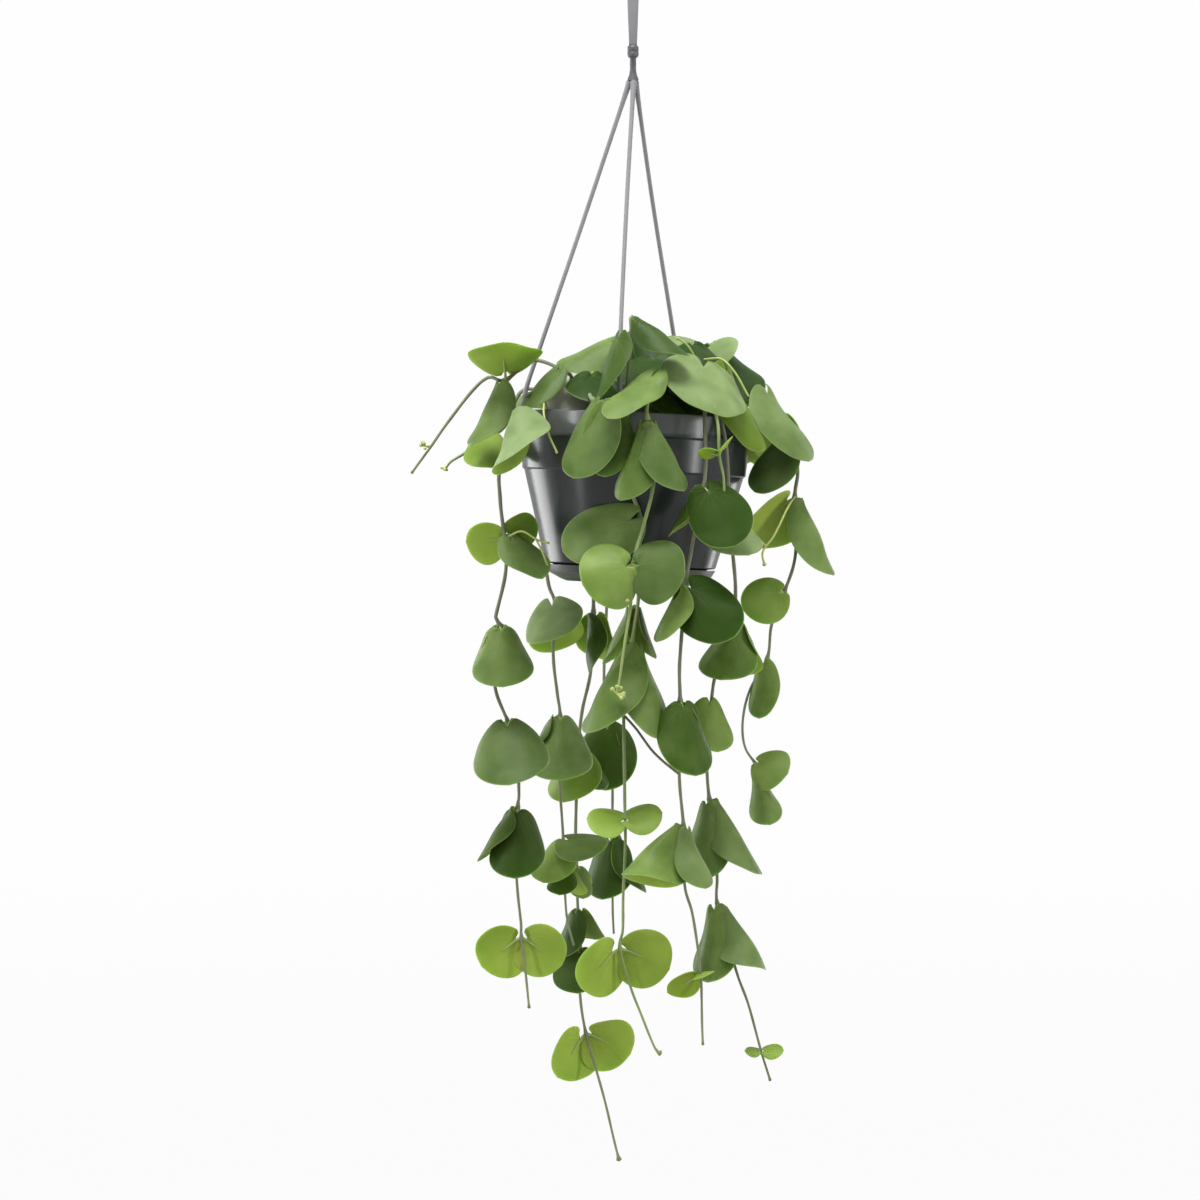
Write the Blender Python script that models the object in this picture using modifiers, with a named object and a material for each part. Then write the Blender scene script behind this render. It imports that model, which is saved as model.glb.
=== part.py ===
"""Hanging potted dischidia: kidney leaved vines that trail from a plastic pot on a three strand hanger.

Metres, +Z up, +Y to the back. The origin is where the hanger's hook bears on its rail, and the
pot hangs below it. The tables give millimetres. Each pair of leaves is a solid of its own that
hugs its stem at the node where it grows.
"""
import bpy
import bmesh
from math import cos, exp, pi, radians, sin, tan
from mathutils import Matrix, Vector

MM = 0.001
GAP = 0.3               # between solids that touch

# Pot, measured from the middle of its rim: (radius, height) pairs run down its outer side
RIM_CENTRE = (2.0, 0.0, -294.0)
POT_TILT = 2.4          # degrees, right side low
RIM_RADIUS = 70.0
RIM_WALL = 3.6
RIM_BAND = 14.0
SKIRT_TOP_RADIUS = 68.6
SKIRT_BOTTOM = 34.5
SKIRT_BOTTOM_RADIUS = 67.0
BODY_TOP_RADIUS = 65.8
BODY_BOTTOM = 90.5
BODY_BOTTOM_RADIUS = 51.2
WALL = 1.8
FOOT_RADIUS = 46.0
FOOT_BOTTOM = 93.0
MIX_DEPTH = 9.0         # headspace under the rim
MIX_FLOOR = 87.4        # clear of the saucer's snap head
POT_SIDES = 40

# Clip-on saucer under the pot
SAUCER_LIP = 91.5
SAUCER_BOTTOM = 101.0
SAUCER_RADIUS = 51.4
SAUCER_FLAT_RADIUS = 37.5
SAUCER_WALL = 1.5
SEAT_RADIUS = 31.0      # ring that the pot's foot sits on
BOSS_RADIUS = 5.0       # snaps up through the foot's middle hole
BOSS_HEAD_RADIUS = 6.8
HOLE_RING_RADIUS = 38.0
HOLE_RADIUS = 4.0
HOLE_COUNT = 6

# Hanger: a flat hook and strap, a round collar, and three strands that clip over the rim
HOOK_THICKNESS = 3.2
HOOK_THROAT_RADIUS = 11.0
HOOK_WIDTH = 6.0
STRAP_TOP_WIDTH = 6.8
STRAP_FOOT_WIDTH = 4.8
STRAP_FOOT = -72.0
COLLAR_TOP = -72.3
COLLAR_FOOT = -79.5
COLLAR_RADIUS = 3.4
NECK_RADIUS = 1.9
NECK_FOOT = -93.2
FORK_RADIUS = 3.6       # the neck widens where the strands leave it
STRAND_RADIUS = 1.3
CLIP_WIDTH = 6.0
CLIP_THICKNESS = 1.6
# strand name: rim angle in degrees from the right, and the strand's way down from the collar
STRANDS = {
    "left": (180.0, [(-2.0, 0.0, -94.0), (-30.0, 0.0, -178.0), (-55.0, 0.0, -251.0)]),
    "front": (261.0, [(0.4, -2.6, -94.0), (-4.0, -28.0, -170.0), (-8.0, -58.0, -255.0)]),
    "back": (65.0, [(1.6, 2.2, -94.0), (12.0, 25.0, -165.0), (26.0, 52.0, -250.0)]),
}

# Leaves
LEAF_THICKNESS = 1.0
LOBE = 0.24             # how far the lobes reach behind the petiole, of the leaf's length
LOBE_ANGLE = 158.0      # where the outline stops on each side of the notch
RAYS = 11
RINGS = (0.55, 1.0)
PETIOLE = 0.20          # of the leaf's length
PETIOLE_RISE = 42.0     # degrees that the petiole leans to the leaf's upper side
PETIOLE_WIDTH = 1.7
OPPOSITE = 0.9          # petioles whose sum is shorter leave the stem on opposite sides
STRAP_SLACK = 0.12      # the strap's corners cut in towards the stem by this much
CREASE = 3.0            # mm from the midrib in which a folded blade turns
STEM_RADIUS = 1.25
TIP_RADIUS = 0.75
STEM_STEP = 18.0        # spacing of the points along a stem
STEM_START = 0.4        # above the mix
STEM_RISE = 4.0         # straight up out of the mix

# Each vine is its route from the potting mix to its tip: (x, y, z) in mm, and after it the leaves
# that grow there. A leaf is (direction seen from above, slope, roll, length, width, fold, cup,
# droop); 0 points right, 90 to the back. Fold, cup and droop bend the blade to its underside.
VINES = {
    "a": [
        (-40, -36, None), (-50, -46, -281), (-60, -52, -280),
        (-68, -55, -288, (-112, -62, 24, 40, 42, 26, 14, 6)),
        (-79, -50, -324), (-79, -44, -345),
        (-76, -38, -367, (178, -5, 62, 22, 30, 5, 20, 10), (-18, -38, 26, 25, 36, 20, 30, 10)),
        (-76, -34, -388), (-82, -29, -415),
        (-80, -27, -421, (-84, -78, 0, 38, 42, 12, 56, 5), (90, -70, 0, 32, 36, 10, 50, 5)),
        (-83, -25, -441), (-82, -22, -459), (-77, -20, -473),
        (-75, -19, -480, (-104, -66, 0, 40, 46, 5, 40, 8), (75, -60, 0, 30, 36, 10, 45, 5)),
        (-69, -16, -502), (-68, -15, -521),
        (-69, -14, -532, (-90, -78, 0, 42, 42, 5, 60, 5), (150, -74, 0, 32, 32, 10, 60, 5)),
        (-70, -10, -560), (-69, -9, -577), (-67, -8, -598),
        (-67, -8, -607, (184, -34, 60, 24, 34, 3, 14, 4), (-4, -32, -74, 24, 34, 3, 14, 4)),
        (-64, -8, -633), (-62, -8, -647),
    ],
    "b": [
        (-30, 22, None), (-38, 36, -280), (-46, 52, -278),
        (-54, 62, -298), (-56, 58, -350), (-52, 50, -393),
        (-46, 44, -409, (-105, -54, 0, 32, 36, 5, 25, 8), (135, -64, 0, 28, 32, 10, 40, 8)),
        (-49, 38, -447), (-47, 33, -468),
        (-43, 30, -480, (-88, -72, -20, 38, 34, 5, 28, 6), (160, -66, 0, 30, 36, 8, 40, 5)),
        (-44, 28, -505), (-44, 27, -524),
        (-42, 26, -546, (-35, -6, 25, 28, 34, 0, 14, 8), (-165, -34, -20, 26, 32, 6, 20, 8)),
        (-41, 26, -568), (-40, 26, -597), (-36, 26, -614),
    ],
    "c": [
        (-12, 14, None), (-14, 18, -276),
        (-17, 20, -252, (-168, -28, -24, 36, 40, 8, 30, 18), (110, -14, 0, 36, 40, 8, 30, 15)),
        (-16, 48, -262), (-20, 74, -288), (-24, 72, -330), (-25, 70, -380),
        (-24, 62, -413, (-100, -80, 70, 34, 34, 20, 45, 5), (60, -66, 0, 30, 34, 8, 40, 5)),
        (-25, 60, -447), (-31, 58, -473),
        (-33, 57, -494, (-36, -58, 0, 34, 40, 8, 35, 5), (110, -60, 0, 30, 34, 8, 40, 5)),
        (-34, 55, -524), (-35, 54, -547), (-34, 52, -567), (-33, 50, -592),
        (-33, 48, -624, (-95, -62, 0, 28, 34, 5, 25, 5), (85, -55, 0, 28, 34, 5, 25, 5)),
        (-32, 46, -644),
        (-26, 44, -670, (208, -30, 74, 28, 36, 3, 12, 4), (12, -12, -74, 28, 36, 3, 12, 4)),
        (-21, 42, -692), (-15, 40, -717), (-8, 38, -743),
    ],
    "d": [
        (4, 2, None), (4, 0, -268),
        (2, -4, -240, (-172, -72, -6, 44, 42, 24, 40, 5), (-14, -36, 10, 42, 44, 40, 34, 8)),
        (0, 22, -236), (0, 50, -252), (-1, 80, -290), (-10, 86, -340), (-16, 88, -411),
        (-17, 88, -453),
        (-15, 87, -484, (-108, -74, 0, 34, 36, 5, 45, 5), (75, -64, 0, 32, 38, 8, 40, 5)),
        (-12, 85, -518),
        (-12, 84, -534, (-125, -77, 0, 42, 36, 10, 45, 5), (-35, -70, 0, 40, 34, 10, 45, 5)),
        (-12, 80, -570), (-12, 77, -590), (-11, 74, -610),
    ],
    "e": [
        (10, -20, None), (11, -31, -281),
        (10, -40, -270, (-172, -30, -30, 26, 30, 8, 12, 8)),
        (8, -55, -281), (6, -70, -289),
        (8, -86, -299, (-122, -76, -16, 42, 34, 24, 26, 4), (-30, -72, 14, 41, 36, 24, 24, 4)),
        (12, -86, -325), (11, -85, -341), (7, -86, -357),
        (0, -91, -384, (178, -6, -78, 31, 43, 6, 18, 8), (2, -4, 78, 30, 40, 6, 18, 8)),
        (-2, -90, -409), (-6, -92, -435), (-10, -94, -459),
    ],
    "f": [
        (-22, -30, None), (-26, -52, -284), (-24, -68, -287),
        (-18, -73, -290, (-134, -66, 0, 44, 44, 6, 30, 8), (-92, -76, 0, 38, 32, 8, 36, 6)),
        (-10, -75, -315), (-4, -72, -332), (0, -68, -345),
        (4, -67, -357, (180, -24, -66, 44, 42, 4, 16, 4)),
        (3, -66, -392), (2, -66, -408),
        (-1, -66, -421, (-142, -66, 0, 56, 46, 14, 40, 4), (-60, -74, 0, 48, 34, 14, 40, 4)),
        (-6, -66, -470), (-5, -66, -514), (-5, -66, -541), (-6, -64, -575), (-6, -62, -598),
        (-8, -61, -611, (192, -30, 74, 29, 38, 3, 14, 4), (-2, -16, -74, 29, 38, 3, 14, 4)),
        (-3, -59, -633), (6, -58, -660), (12, -57, -676), (17, -56, -681),
    ],
    "g": [
        (30, -14, None), (33, -24, -278),
        (40, -38, -262, (-98, -34, 0, 44, 54, 4, 26, 8)),
        (42, -60, -272), (42, -76, -296),
        (41, -77, -336, (-58, -48, 10, 36, 42, 4, 24, 8), (-150, -76, 0, 30, 30, 12, 50, 5)),
        (34, -77, -375),
        (30, -77, -398, (-42, -58, 6, 42, 44, 4, 34, 6), (-164, -64, 0, 36, 34, 14, 45, 6)),
        (28, -76, -430), (27, -75, -447),
        (27, -74, -464, (-62, -72, 0, 44, 38, 8, 45, 5), (125, -66, 0, 26, 30, 8, 40, 5)),
        (27, -73, -505),
        (29, -72, -537, (-172, -40, 10, 38, 42, 34, 24, 5), (-42, -66, 0, 40, 36, 36, 30, 5)),
        (30, -71, -571), (35, -70, -590), (39, -69, -624), (40, -68, -640), (42, -68, -673),
    ],
    "h": [
        (42, -4, None), (50, -13, -281),
        (58, -24, -268, (-50, -62, 0, 48, 36, 5, 14, 8)),
        (52, -38, -283), (51, -51, -292), (54, -60, -312), (56, -57, -338), (58, -54, -370), (60, -51, -399),
        (59, -50, -411, (-118, -56, 0, 40, 42, 12, 44, 5), (60, -64, 0, 32, 36, 8, 40, 5)),
        (53, -47, -437), (47, -45, -455), (44, -42, -490), (44, -41, -508),
        (45, -40, -521, (-125, -80, 0, 44, 36, 14, 42, 5), (-12, -62, 0, 46, 44, 34, 26, 4)),
        (48, -39, -545), (50, -38, -569),
        (50, -38, -584, (-130, -76, 0, 44, 36, 14, 36, 5), (-16, -58, 0, 45, 42, 34, 22, 4)),
        (57, -37, -612), (62, -36, -628), (69, -36, -646), (76, -35, -674), (81, -35, -692),
    ],
    "i": [
        (46, 8, None), (54, 8, -282), (63, 6, -271),
        (74, 2, -276, (-34, -54, 0, 52, 46, 6, 36, 8)),
        (88, -2, -293),
        (96, -5, -312, (110, -66, 0, 30, 34, 8, 30, 5)),
        (99, -6, -328),
        (98, -6, -342, (-22, -72, 0, 48, 40, 26, 34, 4), (180, -40, 48, 32, 44, 4, 20, 4)),
        (97, -6, -378),
        (91, -6, -400, (-164, -34, -36, 24, 30, 5, 24, 5)),
        (83, -6, -420),
        (79, -6, -438, (-118, -76, 10, 38, 32, 8, 28, 4)),
        (70, -5, -459), (66, -5, -478), (67, -5, -493),
        (73, -5, -505, (-98, -76, 40, 36, 32, 26, 30, 4), (-8, 4, -40, 20, 26, 10, 20, 10)),
    ],
    "j": [
        (-28, -16, None), (-34, -20, -272),
        (-46, -22, -262, (-97, -74, -10, 28, 32, 2, 8, 8)),
        (-60, -22, -262),
        (-76, -26, -267, (-86, 22, 0, 32, 46, 4, 18, 6), (-120, -68, 0, 40, 34, 14, 40, 5)),
        (-86, -18, -270), (-97, -14, -281), (-112, -14, -300), (-122, -14, -315), (-132, -14, -329),
    ],
    "k": [
        (-46, 16, None), (-56, 20, -280), (-68, 20, -280), (-78, 16, -301), (-92, 8, -310),
        (-101, 4, -317), (-109, 2, -322), (-113, 2, -327),
    ],
}

COLOURS = {     # linear colour and roughness
    "pot": ((0.060, 0.066, 0.064, 1.0), 0.30),
    "saucer": ((0.066, 0.070, 0.068, 1.0), 0.32),
    "potting_mix": ((0.045, 0.028, 0.016, 1.0), 0.95),
    "hanger": ((0.36, 0.36, 0.37, 1.0), 0.45),
    "stem": ((0.13, 0.12, 0.07, 1.0), 0.60),
    "leaf": ((0.10, 0.20, 0.045, 1.0), 0.42),
}

for old in list(bpy.data.objects):
    bpy.data.objects.remove(old, do_unlink=True)
PLANT = bpy.data.collections.new("potted_dischidia")
CUTTERS = bpy.data.collections.new("cutters")
for group in (PLANT, CUTTERS):
    bpy.context.scene.collection.children.link(group)


def material(name, finish):
    """A Principled material of the given finish, one for each node."""
    colour, roughness = COLOURS[finish]
    made = bpy.data.materials.new(name)
    made.use_nodes = True
    shader = made.node_tree.nodes["Principled BSDF"]
    shader.inputs["Base Color"].default_value = colour
    shader.inputs["Roughness"].default_value = roughness
    made.diffuse_color = colour
    return made


def add_object(name, data, finish):
    """Link a mesh or curve as a named node with its own material."""
    node = bpy.data.objects.new(name, data)
    data.materials.append(material(name + "_finish", finish))
    PLANT.objects.link(node)
    return node


def as_mesh(node):
    """Turn a node with modifiers, or a curve, into a plain welded mesh node."""
    bpy.context.view_layer.update()
    evaluated = node.evaluated_get(bpy.context.evaluated_depsgraph_get())
    mesh = bpy.data.meshes.new_from_object(evaluated)
    mesh.transform(node.matrix_world)
    work = bmesh.new()
    work.from_mesh(mesh)
    bmesh.ops.remove_doubles(work, verts=work.verts, dist=0.00001)
    work.to_mesh(mesh)
    work.free()
    made = bpy.data.objects.new(node.name + "_mesh", mesh)
    PLANT.objects.link(made)
    name = node.name
    bpy.data.objects.remove(node, do_unlink=True)
    made.name = name
    return made


def hide_cutter(node):
    """Keep a boolean's second solid out of the model."""
    for group in list(node.users_collection):
        group.objects.unlink(node)
    CUTTERS.objects.link(node)
    node.hide_render = True
    node.display_type = "WIRE"


def boolean(node, other, operation):
    """Join or cut a mesh node with another solid."""
    change = node.modifiers.new(other.name, "BOOLEAN")
    change.operation = operation
    change.solver = "EXACT"
    change.object = other
    hide_cutter(other)


def pot_frame():
    """The tilted pot's own frame, whose origin is the middle of the rim."""
    turn = Matrix.Rotation(radians(POT_TILT), 4, "Y")
    return Matrix.Translation(Vector(RIM_CENTRE) * MM) @ turn


def turned(name, profile, sides, finish):
    """A turned solid from (radius, depth) pairs that run down its outer side."""
    mesh = bpy.data.meshes.new(name)
    points = [(radius * MM, 0.0, -depth * MM) for radius, depth in profile]
    edges = [(i, i + 1) for i in range(len(points) - 1)]
    mesh.from_pydata(points, edges, [])
    node = add_object(name, mesh, finish)
    screw = node.modifiers.new("turn", "SCREW")
    screw.steps = sides
    screw.render_steps = sides
    screw.use_merge_vertices = True
    screw.merge_threshold = 0.0001
    node.matrix_world = pot_frame()
    return node


def make_pot():
    """Moulded pot with a rim band, a skirt, a foot with a middle hole and a ring of drain holes."""
    hole = BOSS_RADIUS + GAP * 2
    profile = [
        (RIM_RADIUS - RIM_WALL, 0.6), (RIM_RADIUS - 3.0, 0.0), (RIM_RADIUS - 0.8, 0.0),
        (RIM_RADIUS, 0.8), (RIM_RADIUS, RIM_BAND),
        (SKIRT_TOP_RADIUS, RIM_BAND + 0.6), (SKIRT_BOTTOM_RADIUS, SKIRT_BOTTOM),
        (BODY_TOP_RADIUS, SKIRT_BOTTOM + 0.6), (BODY_BOTTOM_RADIUS, BODY_BOTTOM),
        (FOOT_RADIUS, BODY_BOTTOM + 0.4), (FOOT_RADIUS - 0.6, FOOT_BOTTOM),
        (hole, FOOT_BOTTOM), (hole, FOOT_BOTTOM - WALL),
        (FOOT_RADIUS - WALL - 0.6, FOOT_BOTTOM - WALL),
        (FOOT_RADIUS - WALL, BODY_BOTTOM - WALL), (BODY_BOTTOM_RADIUS - WALL, BODY_BOTTOM - WALL - 0.4),
        (BODY_TOP_RADIUS - WALL, SKIRT_BOTTOM + 0.6), (RIM_RADIUS - RIM_WALL, 0.6),
    ]
    pot = as_mesh(turned("pot", profile, POT_SIDES, "pot"))
    for number in range(HOLE_COUNT):
        angle = 2 * pi * number / HOLE_COUNT
        spot = Vector((HOLE_RING_RADIUS * cos(angle), HOLE_RING_RADIUS * sin(angle), -FOOT_BOTTOM))
        bpy.ops.mesh.primitive_cylinder_add(vertices=10, radius=HOLE_RADIUS * MM, depth=12 * MM)
        drill = bpy.context.object
        drill.name = f"drain_hole_{number}"
        drill.matrix_world = pot_frame() @ Matrix.Translation(spot * MM)
        boolean(pot, drill, "DIFFERENCE")
    return pot


def make_saucer():
    """Clip-on saucer: a shallow bowl with a seat ring and a middle boss that snaps into the foot."""
    seat = FOOT_BOTTOM + GAP
    floor = SAUCER_BOTTOM - SAUCER_WALL
    base = FOOT_BOTTOM - WALL
    profile = [
        (0.0, base - 3.2), (BOSS_RADIUS - 0.6, base - 3.2), (BOSS_HEAD_RADIUS, base - 1.4),
        (BOSS_HEAD_RADIUS, base - GAP), (BOSS_RADIUS, base - GAP), (BOSS_RADIUS, floor),
        (SEAT_RADIUS - 1.5, floor), (SEAT_RADIUS - 1.5, seat), (SEAT_RADIUS, seat),
        (SEAT_RADIUS, floor), (SAUCER_FLAT_RADIUS - 0.5, floor),
        (SAUCER_RADIUS - 6.5, SAUCER_LIP + 4.6), (SAUCER_RADIUS - SAUCER_WALL, SAUCER_LIP),
        (SAUCER_RADIUS, SAUCER_LIP), (SAUCER_RADIUS - 2.6, SAUCER_LIP + 4.4),
        (SAUCER_FLAT_RADIUS + 3.5, SAUCER_BOTTOM - 1.2), (SAUCER_FLAT_RADIUS, SAUCER_BOTTOM),
        (0.0, SAUCER_BOTTOM),
    ]
    return turned("saucer", profile, POT_SIDES, "saucer")


def make_mix():
    """Potting mix: fills the pot to just under the rim, clear of the saucer's snap head."""
    side = WALL + GAP
    top_radius = BODY_TOP_RADIUS - side
    profile = [
        (0.0, MIX_DEPTH), (top_radius, MIX_DEPTH), (top_radius, SKIRT_BOTTOM + 0.6),
        (BODY_BOTTOM_RADIUS - side, MIX_FLOOR), (0.0, MIX_FLOOR),
    ]
    return turned("potting_mix", profile, POT_SIDES, "potting_mix")


def arc(centre, radius, start, end, steps):
    """Points on an arc in the hook's plane, angles in degrees."""
    points = []
    for step in range(steps + 1):
        angle = radians(start + (end - start) * step / steps)
        points.append((centre[0] + radius * cos(angle), centre[1] + radius * sin(angle)))
    return points


def make_hook():
    """Flat moulded hook that runs down into the tapered strap."""
    throat = HOOK_THROAT_RADIUS
    back = throat + HOOK_WIDTH
    centre = (0.0, -throat)
    bend = -throat - 20.0
    half_top = STRAP_TOP_WIDTH / 2
    half_foot = STRAP_FOOT_WIDTH / 2
    path = [(-half_foot, STRAP_FOOT), (half_foot, STRAP_FOOT), (half_top, bend - 14.0),
            (half_top + 4.0, bend - 4.0), (back, -throat - 8.0)]
    path += arc(centre, back, 0.0, 180.0, 16)
    path += arc((-(throat + back) / 2, -throat - 4.0), HOOK_WIDTH / 2, 180.0, 360.0, 6)
    path += arc(centre, throat, 180.0, 0.0, 12)
    path += [(throat, -throat - 5.0), (half_top - 1.0, bend - 1.0), (-half_top, bend - 14.0)]
    curve = bpy.data.curves.new("hanger_hook", "CURVE")
    curve.dimensions = "2D"
    curve.fill_mode = "BOTH"
    curve.extrude = HOOK_THICKNESS / 2 * MM
    spline = curve.splines.new("POLY")
    spline.points.add(len(path) - 1)
    for point, (x, z) in zip(spline.points, path):
        point.co = (x * MM, z * MM, 0.0, 1.0)
    spline.use_cyclic_u = True
    hook = add_object("hanger_hook", curve, "hanger")
    hook.rotation_euler = (pi / 2, 0.0, 0.0)
    return hook


def tube(name, points, radii, finish, resolution):
    """A round wire or stem through the points, with a radius at each."""
    curve = bpy.data.curves.new(name, "CURVE")
    curve.dimensions = "3D"
    curve.bevel_depth = MM
    curve.bevel_resolution = resolution
    curve.use_fill_caps = True
    spline = curve.splines.new("POLY")
    spline.points.add(len(points) - 1)
    for point, place, radius in zip(spline.points, points, radii):
        point.co = (*(Vector(place) * MM), 1.0)
        point.radius = radius
    return add_object(name, curve, finish)


def make_collar():
    """Round collar on the strap's foot, with the neck that the strands leave."""
    heights = [COLLAR_TOP, COLLAR_TOP - 1.0, COLLAR_FOOT + 1.5, COLLAR_FOOT, NECK_FOOT + 5.0, NECK_FOOT]
    radii = [COLLAR_RADIUS - 0.6, COLLAR_RADIUS, COLLAR_RADIUS, NECK_RADIUS, NECK_RADIUS, FORK_RADIUS]
    points = [(0.0, 0.0, height) for height in heights]
    return tube("hanger_collar", points, radii, "hanger", 4)


def make_strand(name, angle, route):
    """One strand of the hanger, with the clip that saddles the rim's edge."""
    turn = Matrix.Rotation(radians(angle), 4, "Z")
    frame = pot_frame() @ turn
    inner = RIM_RADIUS - RIM_WALL - 1.0
    outer = RIM_RADIUS + GAP
    top = 3.0
    hang = -RIM_BAND - GAP - 0.2
    outline = [
        (inner - CLIP_THICKNESS, -5.0), (inner, -5.0), (inner, GAP), (outer, GAP), (outer, hang),
        (outer - 0.9, hang), (outer - 0.9, hang - 1.2), (outer + CLIP_THICKNESS, hang - 1.2),
        (outer + CLIP_THICKNESS, top - 1.0), (outer + 0.4, top), (inner - 0.4, top),
        (inner - CLIP_THICKNESS, top - 1.0),
    ]
    work = bmesh.new()
    low = [work.verts.new((x * MM, -CLIP_WIDTH / 2 * MM, z * MM)) for x, z in outline]
    face = work.faces.new(low)
    grown = bmesh.ops.extrude_face_region(work, geom=[face])
    moved = [item for item in grown["geom"] if isinstance(item, bmesh.types.BMVert)]
    bmesh.ops.translate(work, verts=moved, vec=(0.0, CLIP_WIDTH * MM, 0.0))
    bmesh.ops.recalc_face_normals(work, faces=work.faces)
    mesh = bpy.data.meshes.new(f"clip_{name}")
    work.to_mesh(mesh)
    work.free()
    clip = bpy.data.objects.new(f"clip_{name}", mesh)
    clip.matrix_world = frame
    PLANT.objects.link(clip)
    end = frame @ Vector(((RIM_RADIUS - 2.0) * MM, 0.0, (top - 1.0) * MM)) / MM
    above = frame @ Vector(((RIM_RADIUS - 3.0) * MM, 0.0, (top + 9.0) * MM)) / MM
    points = smooth_route([Vector(point) for point in route] + [above, end], 30.0)
    strand = as_mesh(tube(f"hanger_strand_{name}", points, [STRAND_RADIUS] * len(points), "hanger", 2))
    boolean(strand, clip, "UNION")
    return strand


def smooth_route(points, spacing):
    """A smooth curve through the points, sampled about every spacing mm, keeping each point."""
    padded = [points[0] * 2 - points[1]] + points + [points[-1] * 2 - points[-2]]
    samples = [points[0]]
    for before, start, end, after in zip(padded, padded[1:], padded[2:], padded[3:]):
        steps = max(1, round((end - start).length / spacing))
        for step in range(1, steps + 1):
            t = step / steps
            bend = (start * 2 + (end - before) * t + (before * 2 - start * 5 + end * 4 - after) * t ** 2
                    + (start * 3 - before - end * 3 + after) * t ** 3)
            samples.append(bend / 2)
    return samples


def direction(turn, slope):
    """Unit vector for a plan direction and a slope in degrees."""
    flat = cos(radians(slope))
    return Vector((cos(radians(turn)) * flat, sin(radians(turn)) * flat, sin(radians(slope))))


def leaf_axes(leaf):
    """Tip, side and upper directions of a leaf."""
    tip = direction(leaf[0], leaf[1])
    upper = direction(leaf[0], leaf[1] + 90.0)
    upper = Matrix.Rotation(radians(leaf[2]), 3, tip) @ upper
    return tip, tip.cross(upper), upper


def petiole(leaf):
    """Vector from the stem to the foot of the blade."""
    tip, _, upper = leaf_axes(leaf)
    rise = radians(PETIOLE_RISE)
    return (tip * cos(rise) + upper * sin(rise)) * (leaf[3] * PETIOLE + 2.0)


def outline(angle, length, width):
    """Point (beside, along) of the kidney outline, at an angle round the blade's middle."""
    reach = length * (1 + LOBE) / 2
    return width / 2 * sin(angle), length - reach + reach * cos(angle)


def arc_sum(turn_at, distance, steps=8):
    """Where a line that turns by turn_at(s) has come to after the distance."""
    across = drop = 0.0
    for step in range(steps):
        angle = turn_at(distance * (step + 0.5) / steps)
        across += cos(angle) * distance / steps
        drop += sin(angle) * distance / steps
    return across, drop


def blade_point(leaf, foot, angle, part):
    """A point of the bent blade: part of the way from its foot to the outline at the angle."""
    _, _, _, length, width, fold, cup, droop = leaf
    tip, side, upper = leaf_axes(leaf)
    beside, along = (part * value for value in outline(angle, length, width))
    ahead, sunk = arc_sum(lambda s: radians(droop) * s / length, along)
    fold_turn = radians(fold)
    cup_turn = radians(cup) * 2 / width
    out, down = arc_sum(lambda s: fold_turn * (1 - exp(-s / CREASE)) + cup_turn * s, abs(beside))
    lean = radians(droop) * along / length
    normal = upper * cos(lean) + tip * sin(lean)
    sideways = out if beside >= 0 else -out
    return foot + tip * ahead - upper * sunk + side * sideways - normal * down


def add_blade(work, leaf, node):
    """Add one open blade to the surface and return the two vertices at its foot."""
    foot = node + petiole(leaf)
    _, side, _ = leaf_axes(leaf)
    half = PETIOLE_WIDTH / 2
    feet = [work.verts.new((foot + side * way * half) * MM) for way in (-1, 1)]
    rays = []
    for ray in range(RAYS):
        angle = radians(-LOBE_ANGLE + 2 * LOBE_ANGLE * ray / (RAYS - 1))
        rays.append([work.verts.new(blade_point(leaf, foot, angle, part) * MM) for part in RINGS])
    middle = RAYS // 2
    for ray in range(RAYS - 1):
        left, right = rays[ray], rays[ray + 1]
        start = feet[0] if ray < middle else feet[1]
        work.faces.new((start, right[0], left[0]))
        for inner in range(len(RINGS) - 1):
            work.faces.new((left[inner], right[inner], right[inner + 1], left[inner + 1]))
    work.faces.new((feet[0], feet[1], rays[middle][0]))
    return feet


def make_leaves(name, node, along, stem_radius, leaves):
    """The leaves of one node: open blades on a strap round the stem, made solid."""
    work = bmesh.new()
    feet = [add_blade(work, leaf, node) for leaf in leaves]
    lean = Vector()
    for leaf in leaves:
        lean += petiole(leaf).normalized()
    lean -= along * lean.dot(along)
    if len(leaves) > 1 and lean.length < OPPOSITE:
        across = along.cross(petiole(leaves[0])).normalized()
        lean = across if across.dot(lean) >= 0 else -across
    clearance = stem_radius + GAP + LEAF_THICKNESS / 2 + STRAP_SLACK
    seat = node + lean.normalized() * clearance
    strap = [work.verts.new((seat + along * way * PETIOLE_WIDTH / 2) * MM) for way in (-1, 1)]
    for pair in feet:
        straight = (pair[0].co - strap[0].co).length + (pair[1].co - strap[1].co).length
        crossed = (pair[0].co - strap[1].co).length + (pair[1].co - strap[0].co).length
        ends = strap if straight <= crossed else strap[::-1]
        work.faces.new((pair[0], pair[1], ends[1], ends[0]))
    bmesh.ops.recalc_face_normals(work, faces=work.faces)
    mesh = bpy.data.meshes.new(name)
    work.to_mesh(mesh)
    work.free()
    node_object = add_object(name, mesh, "leaf")
    shell = node_object.modifiers.new("thickness", "SOLIDIFY")
    shell.thickness = LEAF_THICKNESS * MM
    shell.offset = 0.0
    return node_object


def mix_height(x):
    """Height of the tilted mix at a distance to the right of the hanger's line."""
    turn = radians(POT_TILT)
    return RIM_CENTRE[2] - MIX_DEPTH / cos(turn) - (x - RIM_CENTRE[0]) * tan(turn)


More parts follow.
